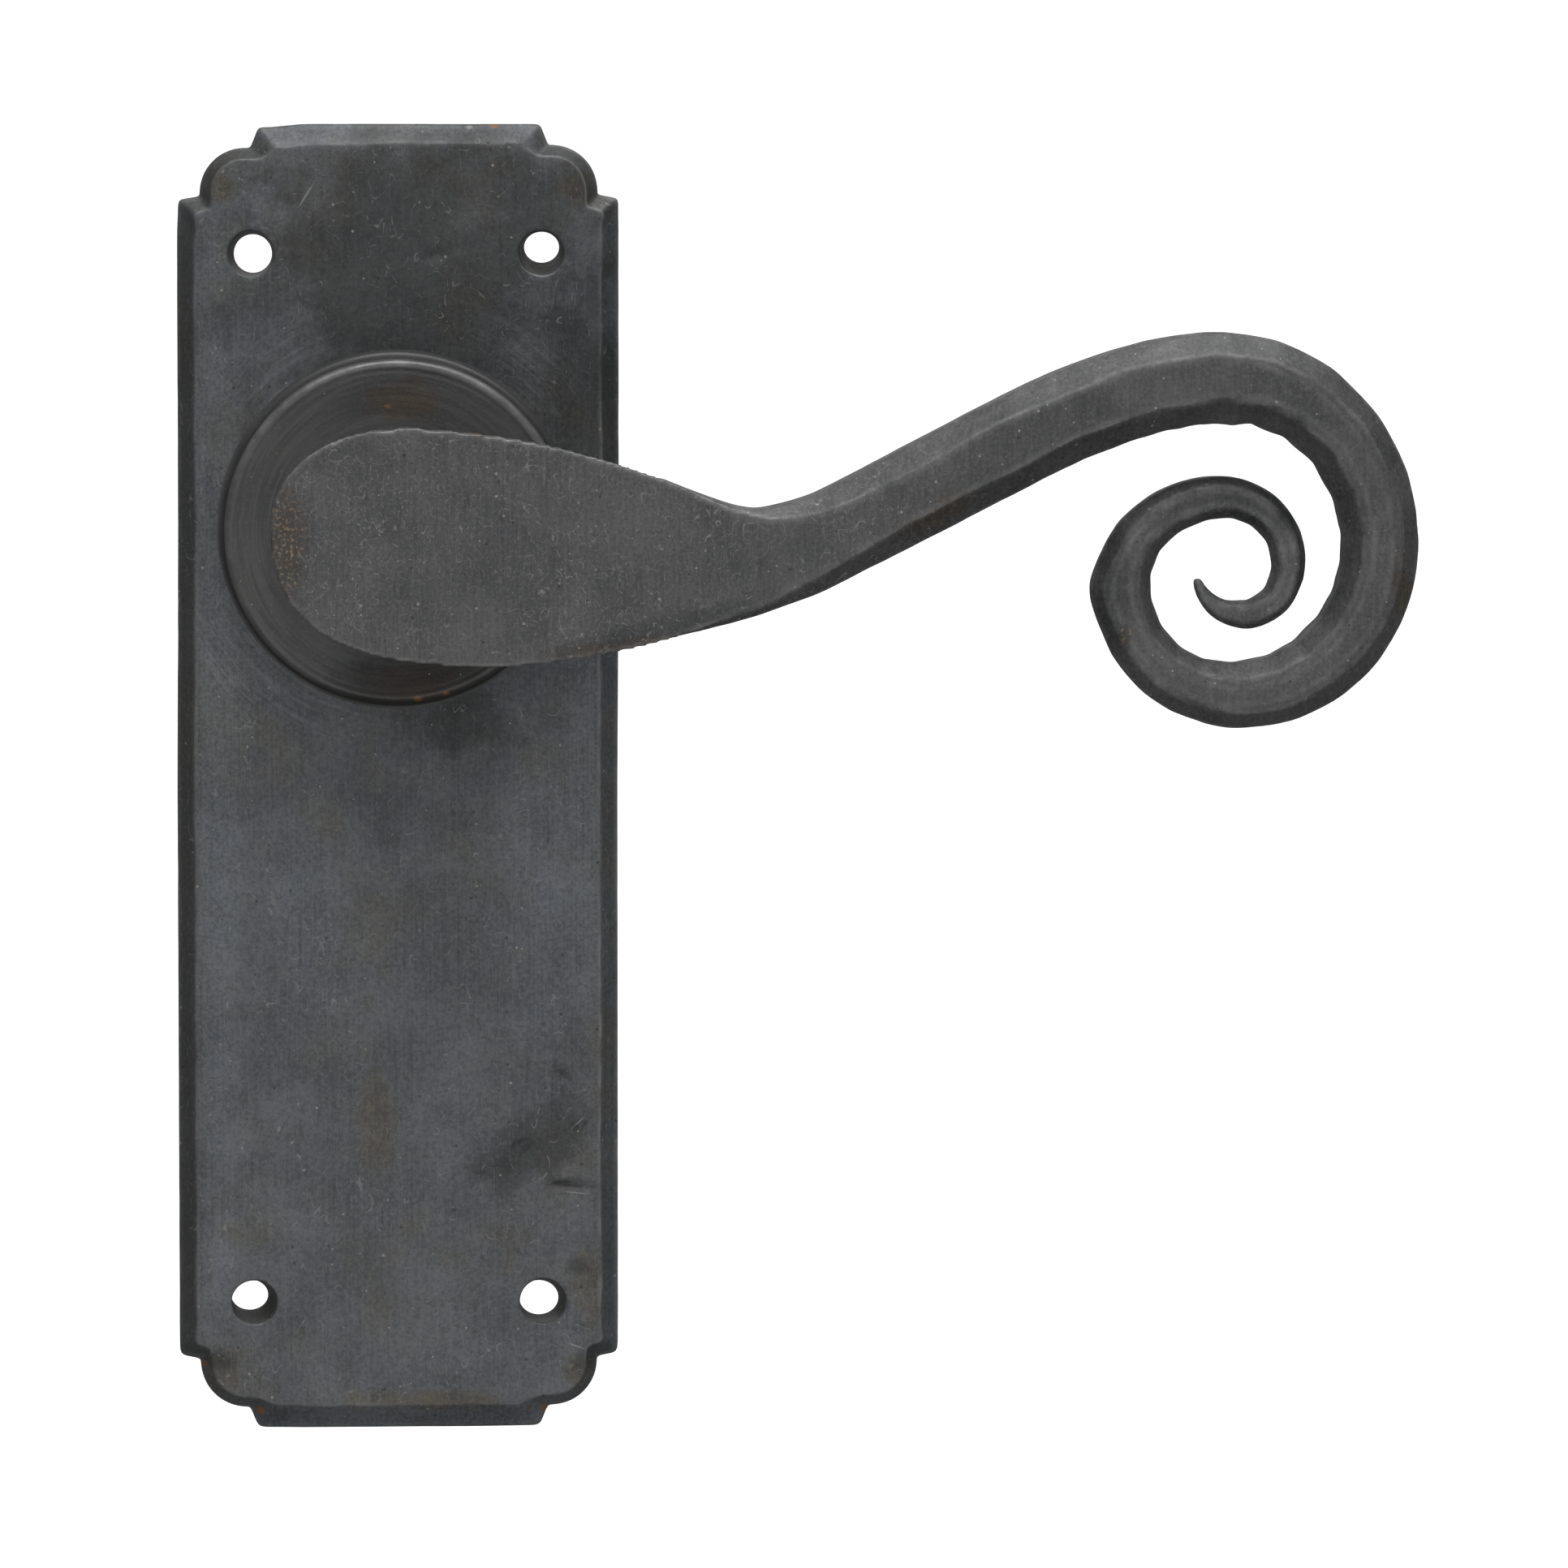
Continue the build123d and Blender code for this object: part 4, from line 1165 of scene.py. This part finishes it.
def plate_iron():
    """Blue-grey blackened iron, brushed up and down, with brown and olive smudges."""
    n = Nodes("plate_iron")
    mottle = n.noise(13.0, 5.0, 0.62)
    n.colour = n.mix(n.ramp(mottle, 0.38, 0.62), rgb(0.052, 0.058, 0.067), rgb(0.090, 0.097, 0.107))
    olive = n.ramp(n.noise(9.0, 6.0, 0.68, shift=(4.0, 2.0, 9.0)), 0.45, 0.66, 0.0, 0.85)
    n.coat(olive, rgb(0.074, 0.070, 0.059))
    cloud = n.noise(4.0, 6.0, 0.72, shift=(9.0, 4.0, 2.0))
    n.coat(n.ramp(cloud, 0.52, 0.30, 0.0, 0.5), rgb(0.036, 0.038, 0.036))

    brushed = n.noise(1.0, 5.0, 0.65, (3.6, 1.0, 0.07))
    n.coat(n.ramp(brushed, 0.30, 0.70, 0.0, 0.5), rgb(0.115, 0.120, 0.128))
    dark_brushed = n.noise(1.0, 4.0, 0.65, (2.2, 1.0, 0.05), (7.0, 3.0, 1.0))
    n.coat(n.ramp(dark_brushed, 0.55, 0.75, 0.0, 0.55), rgb(0.042, 0.044, 0.045))
    spun = n.ramp(n.rings(0.35), 0.42, 0.70, 0.0, 0.5)
    near_boss = n.ramp(n.oval(0.0, 0.0, 25.0, 25.0), 1.0, 1.22, 1.0, 0.0)
    spun = n.math("MULTIPLY", n.math("MULTIPLY", spun, near_boss), n.patches(PLATE_SPUN, 0.7, 4.0))
    n.coat(spun, rgb(0.17, 0.18, 0.195))
    grain = n.noise(0.42, 4.0, 0.7, shift=(3.0, 3.0, 8.0))
    n.coat(n.ramp(grain, 0.46, 0.72, 0.0, 0.40), rgb(0.155, 0.157, 0.155))
    n.coat(n.ramp(grain, 0.54, 0.30, 0.0, 0.44), rgb(0.026, 0.026, 0.026))

    # smudges, and painted shade above and below the collar and in the dents' creases
    n.coat(n.patches(PLATE_SMUDGES_AND_SHADE, 1.0, 6.0), rgb(0.52, 0.53, 0.50), blend="MULTIPLY")
    # painted highlights along the field's edges, and painted lighter patches
    n.coat(n.patches(PLATE_PAINTED_LIGHT, 1.0, 7.0), rgb(1.20, 1.24, 1.28), blend="MULTIPLY")
    n.coat(n.patches(PLATE_BROWN, 0.9, 2.5), rgb(0.98, 0.86, 0.68), blend="MULTIPLY")

    # painted shade on the rim's bevels and down the screw holes
    shade_mask = n.math("MULTIPLY", n.vertex("painted_shade"), 0.62)
    n.coat(shade_mask, rgb(0.036, 0.036, 0.033))
    speckled = n.ramp(n.noise(0.5, 5.0, 0.75, shift=(1.0, 6.0, 2.0)), 0.52, 0.66)
    n.coat(n.math("MULTIPLY", speckled, shade_mask), rgb(0.115, 0.110, 0.092), 0.75)
    wear_and_highlight_strength = n.ramp(n.noise(3.0, 4.0, 0.6, shift=(6.0, 6.0, 1.0)), 0.34, 0.66, 0.25, 0.9)
    # wear and painted highlight on the rim's arrises and the holes' mouths
    n.coat(n.vertex("wear_and_highlight"), WORN_AND_HIGHLIGHT, wear_and_highlight_strength)
    n.coat(n.hairs(4.5, 0.006, 0.26, (1.6, 1.0, 0.6)), WORN_AND_HIGHLIGHT, 0.6)
    n.coat(n.hairs(2.6, 0.010, 0.20, shift=3.7), WORN_AND_HIGHLIGHT, 0.6)
    n.coat(n.specks(1.3, 0.11, 0.10), DUST, 0.8)
    n.coat(n.specks(2.6, 0.08, 0.35, 4.0), DUST, 0.8)
    n.coat(n.specks(2.1, 0.12, 0.2, 9.0), BLACK_GRIME_AND_SHADE, 0.7)
    n.coat(n.patches(PLATE_RUST), RUST, 0.85)
    # scratches, and painted glints on the dents' creases
    n.coat(n.patches(PLATE_SCRATCHES_AND_GLINTS, 0.3), WORN_AND_HIGHLIGHT, 0.7)

    rough = n.ramp(n.noise(6.0, 5.0, 0.6, shift=(7.0, 1.0, 3.0)), 0.3, 0.7, 0.42, 0.58)
    normal = n.bump(brushed, 0.014)
    normal = n.bump(n.noise(0.35, 4.0, 0.65), 0.022, 1.0, normal)
    normal = n.bump(n.noise(2.4, 4.0, 0.6, shift=(5.0, 1.0, 7.0)), 0.05, 1.0, normal)
    return n.finish(0.3, rough, normal)


LEVER_RUST = [  # gritty rust on the lever: x, up, half width, half height, and any turn
    (-12.2, -0.2, 2.7, 7.5),
    (102.3, -3.8, 1.0, 1.6),
    (81.1, -10.5, 0.9, 1.6),
    (10.0, 12.0, 2.2, 0.6),
]
LEVER_BROWN = [
    (26.0, -11.6, 12.0, 1.2, 8.0),
    (60.0, 3.0, 6.0, 1.6, 27.0),
    (112.0, -6.0, 1.5, 5.0, 10.0),
]
LEVER_SHADE = [  # painted shade inside the scroll's coils, where the bar above shades them; the last oval darkens a band low on the blade
    (95.5, 3.4, 11.0, 3.6),
    (102.5, -3.0, 3.2, 7.0),
    (79.8, -6.0, 2.6, 9.0),
    (30.0, -9.6, 16.0, 2.0, 14.0),
]
LEVER_PITS = [
    (0.9, 9.6, 0.22, 0.22),
    (1.7, 8.7, 0.16, 0.16),
    (6.3, -4.2, 0.14, 0.14),
]


def lever_iron():
    """Neutral dark iron with fine pale scratches, specks of dust and gritty rust."""
    n = Nodes("lever_iron")
    mottle = n.noise(8.0, 5.0, 0.6)
    n.colour = n.mix(n.ramp(mottle, 0.35, 0.65), rgb(0.047, 0.048, 0.051), rgb(0.077, 0.077, 0.078))
    brushed = n.noise(1.0, 4.0, 0.65, (2.6, 1.0, 0.16), (2.0, 9.0, 4.0))
    n.coat(n.ramp(brushed, 0.32, 0.72, 0.0, 0.4), rgb(0.125, 0.125, 0.127))
    grain = n.noise(0.45, 5.0, 0.75, shift=(8.0, 3.0, 1.0))
    n.coat(n.ramp(grain, 0.50, 0.70, 0.0, 0.55), rgb(0.155, 0.154, 0.150))
    n.coat(n.ramp(grain, 0.50, 0.32, 0.0, 0.55), rgb(0.028, 0.028, 0.027))
    # painted shade inside the scroll's coils, and a darker band low on the blade
    n.coat(n.patches(LEVER_SHADE, 0.6, 3.0), rgb(0.60, 0.61, 0.62), blend="MULTIPLY")
    n.coat(n.patches(LEVER_BROWN, 0.8, 1.5), rgb(1.0, 0.82, 0.62), blend="MULTIPLY")
    wear_and_highlight_strength = n.ramp(n.noise(2.5, 4.0, 0.6, shift=(6.0, 6.0, 1.0)), 0.36, 0.64, 0.15, 0.7)
    # wear and a painted highlight along the lever's proud edges and ridges
    n.coat(n.vertex("wear_and_highlight"), WORN_AND_HIGHLIGHT, wear_and_highlight_strength)
    scratched = n.ramp(n.oval(10.0, 0.0, 42.0, 22.0), 0.9, 1.4, 0.75, 0.25)
    n.coat(n.hairs(3.2, 0.010, 0.34), WORN_AND_HIGHLIGHT, scratched)
    n.coat(n.hairs(1.7, 0.015, 0.26, shift=5.3), WORN_AND_HIGHLIGHT, scratched)
    n.coat(n.hairs(2.2, 0.012, 0.26, (2.2, 1, 0.8), 8.1), WORN_AND_HIGHLIGHT, scratched)
    n.coat(n.specks(1.0, 0.14, 0.20), DUST, 0.85)
    n.coat(n.specks(2.2, 0.09, 0.45, 4.0), DUST, 0.9)
    n.coat(n.specks(1.6, 0.13, 0.25, 9.0), BLACK_GRIME_AND_SHADE, 0.8)
    rusted = n.patches(LEVER_RUST, 0.7, 1.0)
    n.coat(rusted, rgb(0.045, 0.038, 0.032), 0.8)
    grit = n.ramp(n.noise(0.42, 4.0, 0.7, shift=(3.0, 1.0, 5.0)), 0.53, 0.60)
    n.coat(rusted, rgb(0.21, 0.155, 0.105), grit)
    n.coat(n.patches(LEVER_PITS, 0.2), BLACK_GRIME_AND_SHADE)

    rough = n.ramp(n.noise(5.0, 5.0, 0.6, shift=(1.0, 5.0, 2.0)), 0.3, 0.7, 0.42, 0.58)
    normal = n.bump(n.noise(0.4, 5.0, 0.7), 0.034)
    normal = n.bump(n.noise(2.8, 4.0, 0.6, shift=(5.0, 1.0, 7.0)), 0.07, 1.0, normal)
    return n.finish(0.3, rough, normal)


COLLAR_BROWN = [  # brown on the collar's face: x, up, half width, half height
    (0.5, 15.2, 5.5, 3.0),
    (2.0, -17.5, 6.0, 2.6),
]
# painted shadow of the lever's blade on the collar's lower face: x, up, half width, half height,
# turn
COLLAR_SHADOW = [
    (3.0, -18.5, 16.0, 6.0, 8.0),
]
COLLAR_RUST = [
    (2.4, -19.2, 0.6, 0.4),
    (5.6, -18.6, 0.5, 0.35),
    (-1.0, 14.4, 0.5, 0.3),
]


def turned_iron():
    """Dark turned iron, its lathe marks nearly rubbed out, with painted shade in the cove round its
    foot and a painted shadow under the lever.
    """
    n = Nodes("turned_iron")
    mottle = n.noise(7.0, 5.0, 0.6)
    n.colour = n.mix(n.ramp(mottle, 0.35, 0.65), rgb(0.046, 0.047, 0.049), rgb(0.068, 0.067, 0.066))
    lathe = n.rings(0.45)
    n.coat(n.ramp(lathe, 0.42, 0.68, 0.0, 0.35), rgb(0.11, 0.11, 0.112))
    n.coat(n.ramp(lathe, 0.50, 0.30, 0.0, 0.35), rgb(0.034, 0.034, 0.034))
    grain = n.noise(0.42, 4.0, 0.7)
    n.coat(n.ramp(grain, 0.52, 0.72, 0.0, 0.35), rgb(0.14, 0.14, 0.135))
    n.coat(n.patches(COLLAR_BROWN, 0.8, 2.0), rgb(1.05, 0.80, 0.58), blend="MULTIPLY")
    # painted shadow of the blade on the collar's lower face
    n.coat(n.patches(COLLAR_SHADOW, 0.8, 4.0), rgb(0.42, 0.40, 0.37), blend="MULTIPLY")
    # painted shade in the cove round the collar's foot
    n.coat(n.vertex("painted_shade"), BLACK_GRIME_AND_SHADE, 0.65)
    wear_and_highlight_strength = n.ramp(n.noise(2.5, 4.0, 0.6, shift=(6.0, 6.0, 1.0)), 0.34, 0.66, 0.3, 0.9)
    # wear with a painted highlight on the collar's front edge, brighter towards its top
    n.coat(n.vertex("wear_and_highlight"), WORN_AND_HIGHLIGHT, wear_and_highlight_strength)
    n.coat(n.specks(1.2, 0.1, 0.12), DUST, 0.8)
    n.coat(n.patches(COLLAR_RUST), RUST, 0.8)
    rough = n.ramp(mottle, 0.3, 0.7, 0.38, 0.52)
    normal = n.bump(lathe, 0.012)
    normal = n.bump(n.noise(0.35, 4.0, 0.6), 0.02, 1.0, normal)
    return n.finish(0.3, rough, normal)


def plain_metal(name, dark, light, roughness, metallic=1.0):
    n = Nodes(name)
    tone = n.noise(3.0, 5.0, 0.6)
    n.colour = n.mix(n.ramp(tone, 0.3, 0.7), dark, light)
    rough = n.ramp(tone, 0.3, 0.7, roughness - 0.06, roughness + 0.08)
    return n.finish(metallic, rough, n.bump(n.noise(0.25, 3.0, 0.5), 0.01))


def dress_nodes(turned):
    """Gives every CAD node that is still shown its material."""
    zinc = plain_metal("zinc_plate", rgb(0.38, 0.39, 0.40), rgb(0.52, 0.53, 0.53), 0.36)
    spring = plain_metal("spring_steel", rgb(0.13, 0.13, 0.14), rgb(0.22, 0.22, 0.23), 0.38)
    oxide = plain_metal("black_oxide", rgb(0.025, 0.025, 0.028), rgb(0.05, 0.05, 0.052), 0.4, 0.6)
    bronze = plain_metal("bearing_bronze", rgb(0.38, 0.24, 0.10), rgb(0.55, 0.37, 0.17), 0.34)
    nylon = plain_metal("black_nylon", rgb(0.016, 0.016, 0.017), rgb(0.026, 0.026, 0.027), 0.5, 0.0)
    by_slot = {
        "turned_iron": turned,
        "bright_steel": zinc,
        "spring_steel": spring,
        "black_steel": oxide,
        "bearing_bronze": bronze,
        "black_nylon": nylon,
    }
    for part in frame["record"]["subparts"]:
        material = by_slot.get(part["material_slot"])
        if material is not None:
            node = frame["nodes"][part["node"]]
            node.data.materials.clear()
            node.data.materials.append(material)


# ---- studio
CAMERA_TARGET = Vector((45.09, 0.0, -29.97)) * MM
CAMERA_AZIMUTH = radians(-2.5)
CAMERA_ELEVATION = radians(3.5)
CAMERA_DISTANCE = 1.0
CAMERA_LENS = 196.5
SENSOR_WIDTH = 36.0
LIGHT_TARGET = (0.04, -0.03, -0.02)
FLOOR_DROP = 0.25  # how far the floor lies below the plate's bottom edge
SWEEP_RADIUS = 3.5
SWEEP_BEND = 1.5
SWEEP_STEPS = 16
SWEEP_SIDES = 96
WORLD_LEVEL = 0.19


def aimed(name, data, place, aim):
    """A camera or a light at one place, pointed at another."""
    obj = bpy.data.objects.new(name, data)
    obj.location = place
    obj.rotation_mode = "QUATERNION"
    obj.rotation_quaternion = (Vector(aim) - Vector(place)).to_track_quat("-Z", "Y")
    bpy.context.scene.collection.objects.link(obj)
    return obj


def camera():
    data = bpy.data.cameras.new("camera")
    data.lens = CAMERA_LENS
    data.sensor_width = SENSOR_WIDTH
    data.clip_start = 0.05
    data.clip_end = 50.0
    level = cos(CAMERA_ELEVATION)
    back = Vector((sin(CAMERA_AZIMUTH) * level, -cos(CAMERA_AZIMUTH) * level, sin(CAMERA_ELEVATION)))
    place = CAMERA_TARGET + back * CAMERA_DISTANCE
    bpy.context.scene.camera = aimed("camera", data, place, CAMERA_TARGET)


def softbox(name, place, size, power):
    data = bpy.data.lights.new(name, "AREA")
    data.shape = "RECTANGLE"
    data.size, data.size_y = size
    data.energy = power
    aimed(name, data, place, LIGHT_TARGET)


def studio():
    softbox("front", (0.0, -1.7, 0.55), (1.0, 0.8), 5.5)
    softbox("overhead", (0.1, -0.25, 1.2), (1.4, 0.5), 15.6)
    softbox("low_front", (0.1, -0.65, -0.33), (1.2, 0.4), 2.3)
    softbox("rear_wash", (0.0, 1.0, 0.6), (1.2, 0.8), 1.5)


def sweep_section():
    """Radius and height of a floor that bends up into a wall."""
    low = cad_low[2] - FLOOR_DROP
    flat_radius = SWEEP_RADIUS - SWEEP_BEND
    section = [(0.0, low), (flat_radius, low)]
    for i in range(1, SWEEP_STEPS + 1):
        angle = pi / 2 * i / SWEEP_STEPS
        section.append((flat_radius + SWEEP_BEND * sin(angle), low + SWEEP_BEND * (1 - cos(angle))))
    section.append((SWEEP_RADIUS, SWEEP_RADIUS))
    return section


def pale_matt():
    """Glows by itself, so that it is evenly pale whatever the lights do."""
    n = Nodes("pale_floor")
    n.set(n.shader, "Base Color", rgb(0.85, 0.85, 0.85))
    n.set(n.shader, "Roughness", 1.0)
    n.set(n.shader, "Specular IOR Level", 0.0)
    n.set(n.shader, "Emission Color", rgb(1.0, 1.0, 1.0))
    n.set(n.shader, "Emission Strength", 1.0)
    return n.material


def backdrop():
    """A pale floor that sweeps up into a wall all round.

    The metal doesn't reflect the sweep, so that it stays as dark as in a black studio."""
    section = sweep_section()
    points = [circle((0, 0), radius, SWEEP_SIDES, height) for radius, height in section]
    faces = []
    for index in range(len(section) - 1):
        faces += strip(index * SWEEP_SIDES, (index + 1) * SWEEP_SIDES, SWEEP_SIDES)
    mesh = bpy.data.meshes.new("floor")
    mesh.from_pydata(np.vstack(points).tolist(), [], faces)
    mesh.shade_smooth()
    mesh.materials.append(pale_matt())
    floor = bpy.data.objects.new("floor", mesh)
    bpy.context.scene.collection.objects.link(floor)
    floor.visible_glossy = False
    floor.visible_diffuse = False


def dim_world():
    world = bpy.data.worlds.new("studio")
    bpy.context.scene.world = world
    world.use_nodes = True
    background = world.node_tree.nodes["Background"]
    background.inputs["Color"].default_value = rgb(1.0, 1.0, 1.0)
    background.inputs["Strength"].default_value = WORLD_LEVEL


turned = turned_iron()
forged_plate(plate_iron())
turned_collar(turned)
forged_lever(lever_iron())
dress_nodes(turned)
camera()
studio()
backdrop()
dim_world()
bpy.context.scene.view_settings.view_transform = "Standard"
